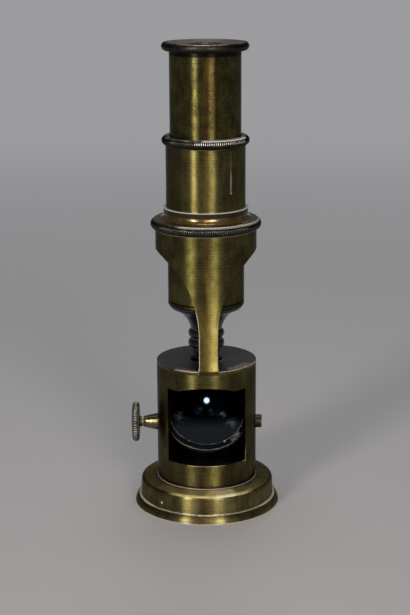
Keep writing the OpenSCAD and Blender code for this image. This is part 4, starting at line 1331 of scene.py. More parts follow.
    def build_frame(self) -> None:
        """Cuts the barrel into its two arms, which widen into round arches under the uncut band.

        Over each arch the angle a runs from 0 to 90 degrees: the height follows sin(a) ** (2 / power), and
        the open half-turn follows cos(a) ** (2 / power), as on a superellipse.
        """
        flare, a = np.linspace(0, 1, 6), np.linspace(0, math.pi / 2, 40)
        arch_z = self.stage_top + self.arch_start
        arch_top = self.barrel_top - self.band_h
        up = np.sin(a) ** (2 / self.arch_power)
        out = np.clip(np.cos(a), 0, 1) ** (2 / self.arch_power)
        band = spaced(arch_top, self.barrel_top, 4)[1:]
        rows = np.concatenate([
            [self.drum_top], self.stage_top + self.arm_flare_h * flare,
            np.linspace(self.stage_top + self.arm_flare_h, arch_z, 6)[1:],
            (arch_z + (arch_top - arch_z) * up)[1:], band])
        half_turn = np.concatenate([
            [self.arm_turn + self.flare_turn], self.arm_turn + self.flare_turn * (1 - flare) ** 2,
            np.full(5, self.arm_turn), (math.pi / 2 - (math.pi / 2 - self.arm_turn) * out)[1:],
            np.full(len(band), math.pi / 2)])
        frame = self.staves(self.tube_r, self.tube_bore, rows, half_turn, 2, math.radians(self.frame_turn),
                            14)
        z, top = frame.height, self.stage_top
        # The edges left of the arms' middles keep a strong bright line, rubbed edge and painted highlight of
        # the key lamp; the right edges a weak one low down
        foot = within(z, top - 4, top + 4.5, 1.5)
        left = 0.85 * within(z, top - 4, top + 22, 5) + 0.15 * foot
        right = 0.1 + 0.5 * within(z, top - 4, top + 2.5, 1.5)
        frame.spare(np.where(frame.turn < self.frame_turn, left, right))
        # Painted highlights in paler brass on the arms' fronts, and a lighter tone low on them
        for end, fade, gleam in self.arm_gleams:
            frame.lay(gleam, frame.outside * within(z, top + 0.8, top + end, fade))
        frame.mark(Mark.GRIME, 0.7 * frame.outside * within(z, top - 4, top + 0.1, 0.4))
        self.shop.piece("barrel_frame", frame, Body.STAND, ARM_BRASS, bevel=0.09)

    def build_collar(self) -> None:
        """Turns the collar: a milled roll, a sharp edge, an ogee and a short neck with a lip."""
        base, top, low = self.barrel_top, self.collar.top, self.collar.bottom
        neck_r, roll_r = self.sleeve_r + self.neck_wall, self.collar.radius - self.collar_roll
        edge_r, edge_z = edge = (self.collar_edge_r, base + self.collar_edge_h)
        bulge = (edge_r - self.ogee_w, edge_z + self.ogee_h)
        hollow = (neck_r, bulge[1] + self.ogee_rise)
        last = math.degrees(math.acos((edge_r - roll_r) / self.collar_roll))
        lip_r, lip_z = neck_r + self.lip_out, top - self.lip_h
        outline = trace([
            (self.sleeve_r, low), (self.tube_bore, low), (self.tube_bore, base), (self.tube_r, base, 0.04),
            *arc((roll_r, base + self.collar_roll_h), self.collar_roll, -90, last, 22), (*edge, 0.05),
            *swell(edge, bulge, 0.2, 7), bulge, *swell(bulge, hollow, -self.ogee_hollow, 12), hollow,
            (neck_r, lip_z - 0.26), (neck_r, lip_z - 0.12), (neck_r, lip_z, 0.04), (lip_r, lip_z, 0.05),
            (lip_r, top, 0.1), (self.sleeve_r, top, 0.04),
        ])
        count = round(TURN * self.collar.radius / self.mill_pitch)
        collar = revolve(outline, milling=Milling(count, self.mill_depth, self.mill_band))
        reach, z = collar.reach, collar.height
        # The crest and the lip carry bright lines laid as wear: rubbed metal on the crest, and painted
        # highlights on both
        crest = within(z, edge_z - 0.1, edge_z + 0.3, 0.12) * (reach > edge_r - 0.8)
        collar.spare(1 - crest).lay(self.crest_rub, crest)
        collar.mark(Mark.WEAR, within(z, lip_z - 0.13, top + 1, 0.06) * (reach > neck_r - 0.3))
        neck = within(z, hollow[1] - 0.1, lip_z - 0.22, 0.3) * (reach > self.sleeve_r + 0.5)
        self.shop.piece("slide_collar", collar.lay(self.neck_shade, neck), Body.STAND, MILLED_BRASS)

    def build_sleeve(self) -> None:
        """Makes the thin sleeve, whose slits end in small drilled holes."""
        half_slit = self.slit_w / 2
        top, hole_z = self.sleeve.top, self.sleeve.top - self.slit_len
        b = np.linspace(0, math.pi, 13)
        hole, opening = hole_z - self.slit_hole_r * np.cos(b), self.slit_hole_r * np.sin(b)
        opening = np.where(hole > hole_z, np.maximum(opening, half_slit), opening)
        below, above = spaced(self.sleeve.bottom, hole[0], 8)[:-1], spaced(hole[-1], top, 12)[1:]
        rows = np.concatenate([below, hole, above])
        half_open = np.concatenate([np.zeros(len(below)), opening, np.full(len(above), half_slit)])
        middle = math.radians(self.slit_turn) + math.pi / self.slit_count
        sleeve = self.staves(self.sleeve_r, self.sleeve_r - self.sleeve_wall, rows,
                             math.pi / self.slit_count - half_open / self.sleeve_r,
                             self.slit_count, middle, 20, 0.16)
        rubbed = np.maximum(0.6, within(sleeve.height, hole_z - 1.0, hole_z + 6.0, 5.0))
        sleeve.spare(np.where(sleeve.height > top - 0.6, 0.0, rubbed)).lay(self.sleeve_dirt, sleeve.outside)
        self.shop.piece("spring_sleeve", sleeve, Body.STAND, SLEEVE_BRASS, bevel=0.04)


def tube_corners(radius: float, bore: float, bottom: float, top: float) -> Corners:
    """The outline of a plain ring or tube."""
    return [(bore, bottom), (radius, bottom), (radius, top), (bore, top)]


def lens_corners(radius: float, rim: float, edge: float, dome: float, flat_z: float, side: int) -> Corners:
    """The outline of a lens with one flat face and one dome, a flat rim round the dome.

    Args:
        radius: The lens's radius.
        rim: The width of the flat rim.
        edge: The thickness at the edge.
        dome: The height of the dome.
        flat_z: The height of the flat face.
        side: 1 where the dome points up, -1 where it points down.

    Returns:
        The outline's corners.
    """
    reach = radius - rim
    ball = (reach**2 + dome**2) / (2 * dome)
    a = np.linspace(math.asin(reach / ball), 0, 10)
    heights = flat_z + side * (edge + dome - ball + ball * np.cos(a))
    return [(0, flat_z), (radius, flat_z), (radius, flat_z + side * edge), *zip(ball * np.sin(a), heights)]


@dataclass
class BodyTube:
    """The focusing tube: its milled ring, lining, nose cone and three objective cells with their lenses."""

    shop: Workshop
    wall: float = 0.6
    guide_wall: float = 0.5
    line_rise: float = 1.5
    black_h: float = 0.55
    line_depth: float = 0.09
    ring_roll: float = 1.65
    ring_wall: float = 0.6
    ring_sink: float = 2.0
    ring_gap: float = 0.15
    nose_step: float = 0.2
    nose_rim_h: float = 1.6
    nose_rim_in: float = 0.95
    nose_sweep: float = 1.5
    nose_end_r: float = 6.0
    nose_hole_r: float = 2.5
    nose_plug_h: float = 3.4
    nose_plug_wall: float = 1.5
    stop_hole_r: float = 6.0
    cell_waist_r: float = 6.0
    cell_roll: float = 1.75
    front_r: float = 5.3
    front_face_r: float = 3.5
    front_taper: float = 1.7
    spigot_r: float = 3.6
    spigot_h: float = 2.0
    spigot_gap: float = 0.2
    lens_rim: float = 0.3
    lens_edge: float = 1.1
    lens_dome: float = 0.45
    light_r: float = 2.0
    front_light_r: float = 1.3
    mill_pitch: float = 0.8
    mill_depth: float = 0.2
    mill_band: float = 1.65
    mill_bright: float = 0.7
    # A painted highlight in paler brass on the front of the tube, low down
    low_gleam: Patch = Patch(Mark.OTHER, ((0.6, -6, 14, 6),))
    # How far the ring's ribs and the line round its top are rubbed bright, with painted highlights strongest
    # to the right
    rib_rub: Patch = Patch(Mark.WEAR, ((0.7, -12, 62, 8),), 0.3)
    line_rubs: tuple[Patch, ...] = (
        Patch(Mark.WEAR, level=0.2), Patch(Mark.WEAR, ((1.0, 2, 66, 14),)),
        Patch(Mark.WEAR, ((0.46, -72, -14, 10),)))

    def __post_init__(self) -> None:
        """Takes the main heights and radii from the frame."""
        self.tube = extent("body_tube")
        self.ring = extent("body_ring")
        self.nose = extent("nose_cone")
        self.radius = self.tube.radius
        self.bore = self.radius - self.wall

    def build(self) -> None:
        """Makes all pieces that move with the tube."""
        self.build_tube()
        self.build_ring()
        self.build_nose()
        self.build_cells()

    def build_tube(self) -> None:
        """Turns the tube with the fine line near its lower end, and its lining."""
        low, cut = self.tube.bottom, 2 * self.line_depth
        open_angle = math.degrees(math.acos((cut - self.line_depth) / cut))
        groove = arc((self.radius + cut - self.line_depth, low + self.line_rise), cut,
                     180 + open_angle, 180 - open_angle, 6)
        black = low + self.black_h
        outline = trace([(self.bore, low), (self.radius, low, 0.08), (self.radius, black - 0.05),
                         (self.radius, black + 0.05), *groove, (self.radius, self.tube.top),
                         (self.bore, self.tube.top)])
        tube = revolve(outline, bore=self.bore + self.wall / 2).spare(0.1)
        tube.mark(Mark.LINING, tube.height < black)
        tube.lay(self.low_gleam, within(tube.height, black, low + 14, 6))
        self.shop.piece("body_tube", tube, Body.TUBE, LACQUERED_BRASS)
        self.shop.tube("guide_lining", self.bore, self.bore - self.guide_wall, Body.TUBE, DARK_BRONZE, 0.05)

    def build_ring(self) -> None:
        """Turns the milled ring on the tube's upper end."""
        base, top = self.ring.bottom, self.ring.top
        edge_r = self.radius + self.ring_wall
        inner = extent("eyepiece_tube").radius + self.ring_gap
        middle = (self.ring.radius - self.ring_roll, top - self.ring_roll - 0.1)
        reach = math.degrees(math.acos((edge_r - middle[0]) / self.ring_roll))
        sunk = base + self.ring_sink
        outline = trace([(self.radius, base), (edge_r, base, 0.05),
                         *arc(middle, self.ring_roll, -reach, reach, 20), (edge_r, top, 0.03),
                         (inner, top, 0.12), (inner, sunk), (self.radius, sunk)], 0.06)
        count = round(TURN * self.ring.radius / self.mill_pitch)
        milling = Milling(count, self.mill_depth, self.mill_band, bright=self.mill_bright)
        ring = revolve(outline, milling=milling)
        # The ribs and the top line carry rubbed metal and painted highlights
        upper = 0.5 + 0.5 * within(ring.height, middle[1] + 0.2, top, 0.6)
        ring.spare(np.where(ring.height < base + 0.35, 0.0, self.rib_rub.strength(ring.turn) * upper))
        line = within(ring.height, top - 0.42, top + 1, 0.2) * (ring.reach > edge_r - 0.4)
        for rub in self.line_rubs:
            ring.lay(rub, line)
        self.shop.piece("body_ring", ring, Body.TUBE, MILLED_BRASS)

    def build_nose(self) -> None:
        """Turns the nose cone, whose hollow sweep ends in a rounded rim, and the stop ring on its plug."""
        low, shoulder = self.nose.bottom, self.tube.bottom
        rim_r = self.radius - self.nose_step
        rim = (rim_r - self.nose_rim_in, shoulder - self.nose_rim_h)
        plug_bore, plug_top = self.bore - self.nose_plug_wall, shoulder + self.nose_plug_h
        socket = low + self.spigot_h + self.spigot_gap
        web = socket + self.nose_plug_wall
        corners = [
            (self.spigot_r, low), (self.nose_end_r, low),
            *swell((self.nose_end_r, low), rim, -self.nose_sweep, 18), (*rim, 0.3),
            *swell(rim, (rim_r, shoulder), 0.2, 6), (rim_r, shoulder, 0.1), (self.bore, shoulder),
            (self.bore, plug_top), (plug_bore, plug_top), (plug_bore, shoulder), (self.spigot_r, web),
            (self.nose_hole_r, web), (self.nose_hole_r, socket), (self.spigot_r, socket),
        ]
        self.shop.turned("nose_cone", corners, Body.TUBE, BLACK_BRASS)
        self.shop.tube("stop_ring", self.bore, self.stop_hole_r, Body.TUBE, BLACK_BRASS)

    def build_cells(self) -> None:
        """Turns the objective's three cells and their lenses."""
        lens_r = extent("upper_lens").radius
        lens_drop = self.spigot_h - self.lens_edge - self.lens_dome
        above = self.nose.bottom
        lenses: dict[str, Corners] = {}
        for name in ("upper", "middle", "front"):
            box = extent(f"{name}_cell")
            base, head = box.bottom, box.top - self.spigot_h
            floor = head + lens_drop
            if name == "front":
                light_r, inside = self.front_light_r, []
                skin = [(light_r, base, 0.15), (self.front_face_r, base, 0.12),
                        (self.front_r, base + self.front_taper, 0.15), (self.front_r, head, 0.06)]
            else:
                middle = (box.radius - self.cell_roll, (base + head) / 2)
                reach = math.degrees(math.acos((self.cell_waist_r - middle[0]) / self.cell_roll))
                socket = base + self.spigot_h + self.spigot_gap
                light_r, inside = self.light_r, [(self.light_r, socket), (self.spigot_r, socket)]
                skin = [(self.spigot_r, base), (self.cell_waist_r, base, 0.05),
                        *arc(middle, self.cell_roll, -reach, reach, 16), (self.cell_waist_r, head, 0.05)]
            spigot = [(self.spigot_r, head), (self.spigot_r, box.top), (lens_r, box.top), (lens_r, floor),
                      (light_r, floor)]
            self.shop.turned(f"{name}_cell", [*skin, *spigot, *inside], Body.TUBE, BLACK_BRASS, 0.06)
            lenses[f"{name}_lens"] = lens_corners(lens_r, self.lens_rim, self.lens_edge, self.lens_dome,
                                                  above + lens_drop, 1)
            above = base
        for name, corners in lenses.items():
            self.shop.turned(name, corners, Body.TUBE, OpticalGlass(), 0.03)


@dataclass
class Eyepiece:
    """The eyepiece: its tube and cap, the eye lens, the field stop and the field lens."""

    shop: Workshop
    wall: float = 0.5
    cap_belt: float = 1.7
    cap_under_in: float = 1.2
    cap_top_in: float = 0.8
    cap_rim: float = 1.6
    cap_dish: float = 0.7
    boss_wall: float = 1.2
    cap_spigot_h: float = 5.0
    cap_spigot_wall: float = 1.0
    eye_hole_r: float = 3.5
    eye_lens_edge: float = 1.8
    eye_lens_dome: float = 1.0
    eye_ring_wall: float = 0.9
    field_stop_r: float = 7.0
    field_wall: float = 0.8
    field_hold: float = 0.8
    field_lens_edge: float = 2.0
    field_lens_dome: float = 2.2
    # A browner tone painted where the right lamp's highlight stripe falls on the tube
    tube_gleam: Patch = Patch(Mark.OTHER, ((0.75, 2, 18, 5),))
    # Painted highlights laid as wear on the front and the right of the cap's rim
    rim_rubs: tuple[Patch, ...] = (
        Patch(Mark.WEAR, ((0.58, -38, 28, 14),)), Patch(Mark.WEAR, ((0.45, 48, 80, 10),)))
    dish_tone: Patch = Patch(Mark.OTHER, level=0.6)

    def __post_init__(self) -> None:
        """Takes the main heights and radii from the frame."""
        self.tube = extent("eyepiece_tube")
        self.cap = extent("eyepiece_cap")
        self.radius = self.tube.radius
        self.bore = self.radius - self.wall
        self.lens_r = extent("eye_lens").radius

    def build(self) -> None:
        """Makes all pieces that move with the eyepiece."""
        low, top = self.tube.bottom, self.tube.top
        outline = trace([(self.bore, low), (self.radius, low), (self.radius, top - 1.4),
                         (self.radius, top - 0.6), (self.radius, top), (self.bore, top)], 0.08)
        tube = revolve(outline, bore=self.bore + self.wall / 2).spare(0.1)
        # Painted shadow under the cap at the tube's top, laid as dirt, and the browner tone in the highlight
        # stripe
        tube.mark(Mark.GRIME, within(tube.height, top - 0.9, top, 1.2)).lay(self.tube_gleam, 1.0)
        self.shop.piece("eyepiece_tube", tube, Body.EYEPIECE, PITTED_BRASS)
        self.build_cap()
        self.build_lenses()

    def build_cap(self) -> None:
        """Turns the cap: a rounded belt, a flat rim and a shallow dish with the eye hole."""
        low, top, cap_r, hole_r = self.tube.top, self.cap.top, self.cap.radius, self.eye_hole_r
        top_r, belt = cap_r - self.cap_top_in, (cap_r, low + self.cap_belt)
        under = (cap_r - self.cap_under_in, low + self.cap_belt * 0.1)
        flat, dish = (top_r - self.cap_rim, top), (hole_r, top - self.cap_dish)
        lens_z, ring_z = extent("eye_lens").top, extent("eye_lens_ring").bottom
        boss_r, spigot_in = self.lens_r + self.boss_wall, self.bore - self.cap_spigot_wall
        cap = revolve(trace([
            (hole_r, lens_z), (self.lens_r, lens_z), (self.lens_r, ring_z), (boss_r, ring_z), (boss_r, low),
            (spigot_in, low), (spigot_in, low - self.cap_spigot_h), (self.bore, low - self.cap_spigot_h),
            (self.bore, low), (self.radius, low), (*under, 0.15),
            *swell(under, belt, self.cap_under_in / 4, 6), (*belt, 0.3),
            *swell(belt, (top_r, top), self.cap_top_in / 4, 6), (top_r, top, 0.2), (*flat, 0.4),
            *swell(flat, dish, -self.cap_dish * 0.35, 8), (*dish, 0.25),
        ])).spare(0.6)
        # Painted shade: the underside of the cap's belt takes the dark inner lining
        cap.mark(Mark.LINING, 0.8 * within(cap.height, low, low + 1.0, 0.5))
        rim = within(cap.reach, flat[0], top_r, 0.5) * (cap.height > top - 0.2)
        for rub in self.rim_rubs:
            cap.lay(rub, rim)
        cap.lay(self.dish_tone, within(cap.reach, hole_r + 1.5, flat[0], 1.0) * (cap.height > dish[1]))
        self.shop.piece("eyepiece_cap", cap, Body.EYEPIECE, DARK_BRONZE)

    def build_lenses(self) -> None:
        """Turns the lenses with their rings, and the field stop."""
        inner = self.bore - self.field_wall
        hole = inner - self.field_hold
        eye_z, field_z, cell = extent("eye_lens").top, extent("field_lens").top, extent("field_cell")
        eye = lens_corners(self.lens_r, self.eye_ring_wall, self.eye_lens_edge, self.eye_lens_dome, eye_z, -1)
        field = lens_corners(inner, self.field_hold, self.field_lens_edge, self.field_lens_dome, field_z, -1)
        holder = [(self.bore, cell.bottom), (self.bore, cell.top), (hole, cell.top), (hole, field_z),
                  (inner, field_z), (inner, cell.bottom)]
        body, turned, tube = Body.EYEPIECE, self.shop.turned, self.shop.tube
        turned("eye_lens", eye, body, OpticalGlass(), 0.05)
        tube("eye_lens_ring", self.lens_r, self.lens_r - self.eye_ring_wall, body, BLACK_BRASS)
        tube("field_stop", self.bore, self.field_stop_r, body, BLACK_BRASS)
        turned("field_cell", holder, body, BLACK_BRASS)
        turned("field_lens", field, body, OpticalGlass(), 0.05)
        tube("field_lens_ring", inner, hole, body, BLACK_BRASS)


@dataclass
class MirrorSet:
    """The mirror in its cell, the rod with its knob, and the two bearings in the drum's wall."""

    shop: Workshop
    tilt: float = 38.0
    mirror_r: float = 14.4
    lift: float = 5.5
    glass_t: float = 1.8
    bezel_hold: float = 0.5
    bezel_lip: float = 0.3
    bezel_flat: float = 0.6
    bezel_fall: float = 1.0
    bezel_depth: float = 1.2
    bezel_w: float = 1.8
    cell_back: float = 1.2
    lug_t: float = 2.4
    lug_r: float = 3.0
    lug_x: float = 9.0
    trunnion_r: float = 2.4
    rod_r: float = 1.5
    rod_gap: float = 0.05
    bearing_r: float = 3.32
    bearing_end_r: float = 2.1
    pivot_r: float = 2.6
    pivot_bevel: float = 0.3
    neck_r: float = 2.3
    bearing_in: float = 0.6
    side_play: float = 0.2
    tube_wall: float = TUBE_WALL
    hub_r: float = 2.0
    hub_len: float = 1.5
    knob_rim: float = 2.6
    knob_round: float = 0.8
    knob_swell: float = 0.5
    knob_hold: float = 3.2
    mill_pitch: float = 1.0
    mill_depth: float = 0.3
    glass_rows: tuple[float, ...] = (13.0, 11.0, 9.0, 7.0, 5.0, 3.0)
    # Smudges of dust on the glass: how far right of its middle, how far down, and their size
    smudges: tuple[tuple[float, float, float], ...] = ((-10.5, 2.0, 2.6), (6.0, 0.5, 1.8), (9.5, 5.0, 2.4))
    # Painted glints laid as wear on the bezel: a streak and a small dot to the right
    bezel_rub: Patch = Patch(Mark.WEAR, ((0.42, 38, 54, 5),))
    glint: Patch = Patch(Mark.WEAR, ((0.8, 27.2, 28.6, 1.6),))

    def __post_init__(self) -> None:
        """Takes the rod's height and the drum's radius from the frame."""
        self.rod = extent("mirror_rod")
        self.rod_z = (self.rod.bottom + self.rod.top) / 2
        self.drum_r = extent("drum_shell").radius
        self.inner_x = self.drum_r - self.tube_wall - self.bearing_in
        self.rim_r = self.mirror_r + self.bezel_w
        self.glass_z = self.lift - self.glass_t
        self.joint_z = self.lift - self.bezel_depth
        self.bore = self.mirror_r + self.bezel_hold + DROP_IN_GAP

    def build(self) -> None:
        """Makes the mirror, the rod, the knob and the bearings."""
        self.build_mirror()
        self.build_cell()
        self.build_rod()
        self.build_bearings()

    def on_mirror(self, surface: Surface) -> Surface:
        """Puts a surface made round the mirror's own axis into its place on the rod."""
        return surface.moved(tilted(self.tilt), (0, 0, self.rod_z))

    def on_rod(self, surface: Surface, side: int, aside: float = 0.0) -> Surface:
        """Puts a surface made about Z along the rod, running out to the left (-1) or the right (1)."""
        return surface.moved(along_rod(side), (aside, 0, self.rod_z))

    def build_mirror(self) -> None:
        """Turns the glass and the bezel that holds it."""
        glass_r, top = self.mirror_r + self.bezel_hold, self.lift + self.bezel_lip
        rows = [(radius, self.lift) for radius in self.glass_rows]
        glass = revolve(trace([(0, self.glass_z), (glass_r, self.glass_z), (glass_r, self.lift), *rows,
                               (0, self.lift)], 0.05)).spare(0.0)
        for aside, ahead, size in self.smudges:
            away = np.hypot(glass.at[:, 0] - aside, glass.at[:, 1] + ahead)
            glass.mark(Mark.WEAR, np.exp(-((away / size) ** 2)))
        glass.mark(Mark.GRIME, within(glass.at[:, 1], -1, 20, 7))
        self.shop.piece("mirror_glass", self.on_mirror(glass), Body.MIRROR, SilveredGlass())
        flat_r, fall, ease = self.mirror_r + self.bezel_flat, self.bezel_fall, 0.25
        bezel = revolve(trace([
            (self.mirror_r, self.lift), (self.bore, self.lift), (self.bore, self.joint_z),
            (self.rim_r, self.joint_z), (self.rim_r, top - fall, 0.1), (self.rim_r - ease, top - fall * 0.79),
            (flat_r + ease, top - fall * 0.21), (flat_r, top, 0.1), (self.mirror_r, top, 0.08),
        ]), around(240))
        kept = np.where(bezel.reach < self.mirror_r + 0.9, 0.46, 0.6)
        bezel.spare(within(bezel.turn, -70, 70, 30) * kept)
        shown = bezel.height > self.joint_z + 0.1
        bezel.lay(self.bezel_rub, shown).lay(self.glint, shown * (bezel.reach < flat_r + 0.1))
        self.shop.piece("mirror_bezel", self.on_mirror(bezel), Body.MIRROR, BEZEL_BLACK)

    def build_cell(self) -> None:
        """Makes the cell: a turned dish, two lugs on the rod, and trunnions that reach to the bearings.

        A lug is turned with its reach cut to a box, flat-sided up to the dish and round under the rod. It is
        made with its tall side towards -Y, and a quarter turn about its own axis lays that side up.
        """
        floor, back = self.glass_z, self.glass_z - self.cell_back
        parts = [revolve(trace([(0, back), (self.rim_r, back, 0.3), (self.rim_r, self.joint_z),
                                (self.bore, self.joint_z), (self.bore, floor), (0, floor)]))]
        angles = around(64)
        up, across = np.cos(angles), np.abs(np.sin(angles))
        box = np.minimum(self.lug_r / np.maximum(across, TINY),
                         (floor - self.cell_back / 2) / np.maximum(up, TINY))
        reach = np.where(up > 0, box, self.lug_r)
        near, far = self.lug_x - self.lug_t / 2, self.lug_x + self.lug_t / 2
        lug = revolve(trace(tube_corners(9, self.rod_r, near, far), 0.0), angles, reach)
        end = self.inner_x - self.side_play
        trunnion = revolve(trace(tube_corners(self.trunnion_r, self.rod_r, far, end)))
        for side in (-1, 1):
            quarter = np.array([[0, side, 0], [-side, 0, 0], [0, 0, 1]], float)
            parts += [lug.moved(along_rod(side) @ quarter), trunnion.moved(along_rod(side))]
        self.shop.piece("mirror_cell", self.on_mirror(join(parts)), Body.MIRROR, DARK_BRONZE)

    def build_rod(self) -> None:
        """Turns the rod and the milled knob on its left end."""
        left, right = float(self.rod.low[0]), float(self.rod.high[0])
        half = (right - left) / 2
        rod = revolve(trace(tube_corners(self.rod_r, 0, -half, half)), around(48))
        self.shop.piece("mirror_rod", self.on_rod(rod, 1, (left + right) / 2), Body.MIRROR, GREYED_BRASS)
        knob = extent("mirror_knob")
        near, crest = -float(knob.high[0]), float(knob.high[1])
        rim_r, back = crest - self.knob_round, near + self.hub_len
        face = back + self.knob_rim
        tip, floor = (0, face + self.knob_swell), near + self.knob_hold
        outline = trace([
            (self.rod_r, near), (self.hub_r, near, 0.05), (self.hub_r, near + self.hub_len * 0.9),
            (rim_r, back, 0.15), *swell((rim_r, back), (rim_r, face), self.knob_round, 16),
            (rim_r, face, 0.15), *swell((rim_r, face), tip, self.knob_swell * 0.15, 8), tip, (0, floor),
            (self.rod_r, floor),
        ])
        knob_mill = Milling(round(TURN * crest / self.mill_pitch), self.mill_depth, 0.7, 8)
        surface = revolve(outline, milling=knob_mill)
        surface.marks[:, Mark.OTHER] = surface.reach < self.hub_r + 0.05
        self.shop.piece("mirror_knob", self.on_rod(surface, -1), Body.MIRROR, GREYED_BRASS)

    def build_bearings(self) -> None:
        """Turns the long cone at the knob and the short boss opposite, both fitted to the drum's wall.

        A bearing's skin starts flat at the wall's nearest point. Each of its points is then pushed out by
        what the round wall stands back there, less and less towards the bearing's end.
        """
        hole, wall = self.rod_r + self.rod_gap, self.drum_r - 0.2
        bevelled = self.pivot_r - self.pivot_bevel
        for name, side, finish, root_r, end_r, bevel in (
            ("knob_bearing", -1, BEARING_BRASS, self.bearing_r, self.bearing_end_r, 0.0),
            ("pivot_bearing", 1, DARK_BRONZE, self.pivot_r, bevelled, self.pivot_bevel),
        ):
            box = extent(name)
            end = float(max(-box.low[0], box.high[0]))
            tip = [(root_r, end - bevel, 0.1), (end_r, end, 0.1)] if bevel else [(end_r, end, 0.15)]
            outline = trace([(hole, self.inner_x, 0.0), (self.neck_r, self.inner_x, 0.05),
                             (self.neck_r, wall, 0.0), (root_r, wall, 0.0), *tip, (hole, end, 0.1)])
            surface = revolve(outline, around(72))
            along, across = surface.at[:, 2], surface.at[:, 1]
            lift = np.sqrt(self.drum_r**2 - across**2) - wall
            beyond = (along > wall - TINY) & (along < end)
            share = np.clip((end - along) / (end - wall), 0, 1)
            surface.at[:, 2] = np.where(beyond, along + lift * share, along)
            moved = surface.at[:, 2]
            surface.mark(Mark.GRIME, np.where(moved > wall - 0.01, np.exp(-(moved - wall) / 0.4), 0))
            self.shop.piece(name, self.on_rod(surface, side), Body.STAND, finish, Slot.MILLED)


def put(name: str, data: bpy.types.ID) -> bpy.types.Object:
    """Makes an object of a mesh, a lamp or a camera, and puts it into the scene.

    Args:
        name: The object's name.
        data: The mesh, the lamp or the camera.

    Returns:
        The object.
    """
    made = bpy.data.objects.new(name, data)
    bpy.context.scene.collection.objects.link(made)
    return made


@dataclass(frozen=True)
class Softbox:
    """A rectangular lamp that stands round the microscope and faces it.

    The azimuth counts degrees from the camera's side to the right, and the elevation is in degrees. The
    distance and the size are metres. A radiance of 1 shows as white.
    """

    name: str
    azimuth: float
    elevation: float
    distance: float
    width: float
    height: float
    radiance: float
    colour: str

    def build(self) -> None:
        """Makes the lamp. A flat lamp of area A and radiance L gives L * A * pi watts."""
        lamp = bpy.data.lights.new(self.name, "AREA")
        lamp.shape = "RECTANGLE"
        lamp.size, lamp.size_y = self.width, self.height
        lamp.energy = self.radiance * self.width * self.height * math.pi
        lamp.color = linear(self.colour)[:3]
        azimuth, elevation = math.radians(self.azimuth), math.radians(self.elevation)
        aim = Vector((0, 0, AIM_HEIGHT))
        way = Vector((math.sin(azimuth) * math.cos(elevation), -math.cos(azimuth) * math.cos(elevation),
                      math.sin(elevation)))
        stand = put(self.name, lamp)
        stand.location = aim + way * self.distance
        stand.rotation_euler = (-way).to_track_quat("-Z", "Y").to_euler()


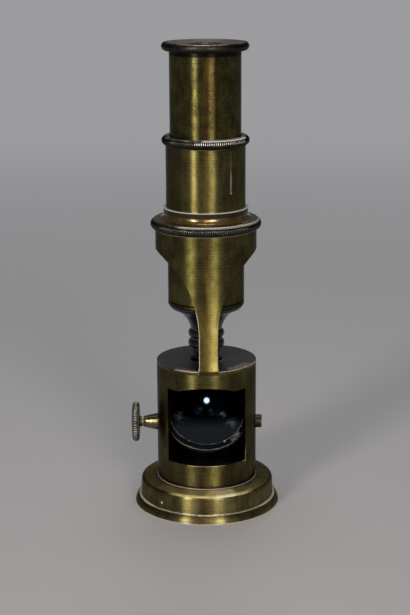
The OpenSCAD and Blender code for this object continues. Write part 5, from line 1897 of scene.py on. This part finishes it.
@dataclass
class Studio:
    """The pale floor, the lamps, the dim room and the camera."""

    floor_colour: str = "b4b4b6"
    far_colour: str = "9c9c9f"
    near_to_far: tuple[float, float] = (180.0, 1100.0)
    floor_reach: float = 14.0
    room_colour: str = "e4e7ee"
    room: float = 0.1
    daylight_r: float = 1.1
    daylight_drop: float = 0.1
    daylight: float = 16.0
    camera_back: float = 0.556232
    camera_height: float = 0.223158
    camera_side: float = -0.00047
    pitch: float = 14.578
    roll: float = -0.25
    focal_px: float = 1484.882
    frame_px: float = 615.0
    lamps: tuple[Softbox, ...] = (
        Softbox("key softbox", -34, 17, 1.3, 0.24, 0.9, 13.0, "fffaf0"),
        Softbox("fill softbox", 19, 17, 1.3, 0.34, 0.9, 7.6, "fffaf0"),
        Softbox("warm card", 3, 30, 1.35, 0.2, 0.6, 5.0, "ecba92"),
        Softbox("top softbox", 180, 84, 1.2, 0.5, 0.5, 6.0, "f4f7ff"),
        Softbox("back softbox", 175, 40, 1.5, 0.5, 0.4, 3.0, "fffaf0"),
    )

    def build(self) -> None:
        """Sets up the floor, lamps, room and camera."""
        self.build_floor()
        for lamp in self.lamps:
            lamp.build()
        self.build_daylight()
        world = bpy.data.worlds.new("dim studio")
        bpy.context.scene.world = world
        world.use_nodes = True
        background = world.node_tree.nodes["Background"].inputs
        background["Color"].default_value = linear(self.room_colour)
        background["Strength"].default_value = self.room
        self.build_camera()
        bpy.context.scene.view_settings.view_transform = "Standard"

    def build_daylight(self) -> None:
        """Makes the small bright disc that the mirror shows under the objective.

        It is the daylight that comes down through the lenses, which a path tracer loses in the glass. The
        camera doesn't see the disc itself.
        """
        disc = bpy.data.lights.new("daylight through the lenses", "AREA")
        disc.shape = "DISK"
        disc.size = 2 * self.daylight_r * MM
        disc.energy = self.daylight * math.pi * (self.daylight_r * MM) ** 2 * math.pi
        stand = put(disc.name, disc)
        stand.location = (0, 0, (extent("front_cell").bottom - self.daylight_drop) * MM)
        stand.visible_camera = False

    def build_floor(self) -> None:
        """Makes a wide plain floor."""
        reach = self.floor_reach
        mesh = bpy.data.meshes.new("floor")
        mesh.from_pydata([(-reach, -reach, 0), (reach, -reach, 0), (reach, reach, 0), (-reach, reach, 0)],
                         [], [(0, 1, 2, 3)])
        mesh.materials.append(self.floor_material())
        put("floor", mesh)

    def floor_material(self) -> bpy.types.Material:
        """Makes the pale matt floor. It takes the lamps' light and the shadow near the microscope.

        Farther off, where the lamps' light would fall off, it shows its own pale tone to the camera and to
        gloss and glass. It lights nothing there.

        Returns:
            The material.
        """
        weave = Weave("pale matt floor")
        add = weave.add
        near = add("BsdfPrincipled", self.floor_colour, feed={"Roughness": 0.7, "Specular IOR Level": 0.2})
        far = add("Emission", self.far_colour, 1.0)
        away = add("MapRange SMOOTHSTEP", add("VectorMath LENGTH", weave.mm, out="Value"), *self.near_to_far)
        ray = add("LightPath").node.outputs
        seen = add("Math MAXIMUM", ray["Is Camera Ray"], ray["Is Glossy Ray"])
        seen = add("Math MAXIMUM", seen, ray["Is Transmission Ray"])
        return weave.finish(add("MixShader", add("Math MULTIPLY", away, seen), near, far))

    def build_camera(self) -> None:
        """Sets the camera at the photograph's height, pitch and focal length."""
        camera = bpy.data.cameras.new("camera")
        camera.sensor_width = 36.0
        camera.lens = self.focal_px * camera.sensor_width / self.frame_px
        camera.clip_end = 100.0
        place = Matrix.Translation((self.camera_side, -self.camera_back, self.camera_height))
        pitch = Matrix.Rotation(math.radians(90 - self.pitch), 4, "X")
        holder = put("camera", camera)
        holder.matrix_world = place @ pitch @ Matrix.Rotation(math.radians(self.roll), 4, "Z")
        bpy.context.scene.camera = holder


def main() -> None:
    """Loads the solids, dresses them and sets up the studio."""
    logging.basicConfig(level=logging.INFO, format="%(message)s")
    for thing in list(bpy.data.objects):
        bpy.data.objects.remove(thing)
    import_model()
    Studio().build()
    shop = Workshop()
    Stand(shop).build()
    BodyTube(shop).build()
    Eyepiece(shop).build()
    MirrorSet(shop).build()


if __name__ == "__main__":
    main()
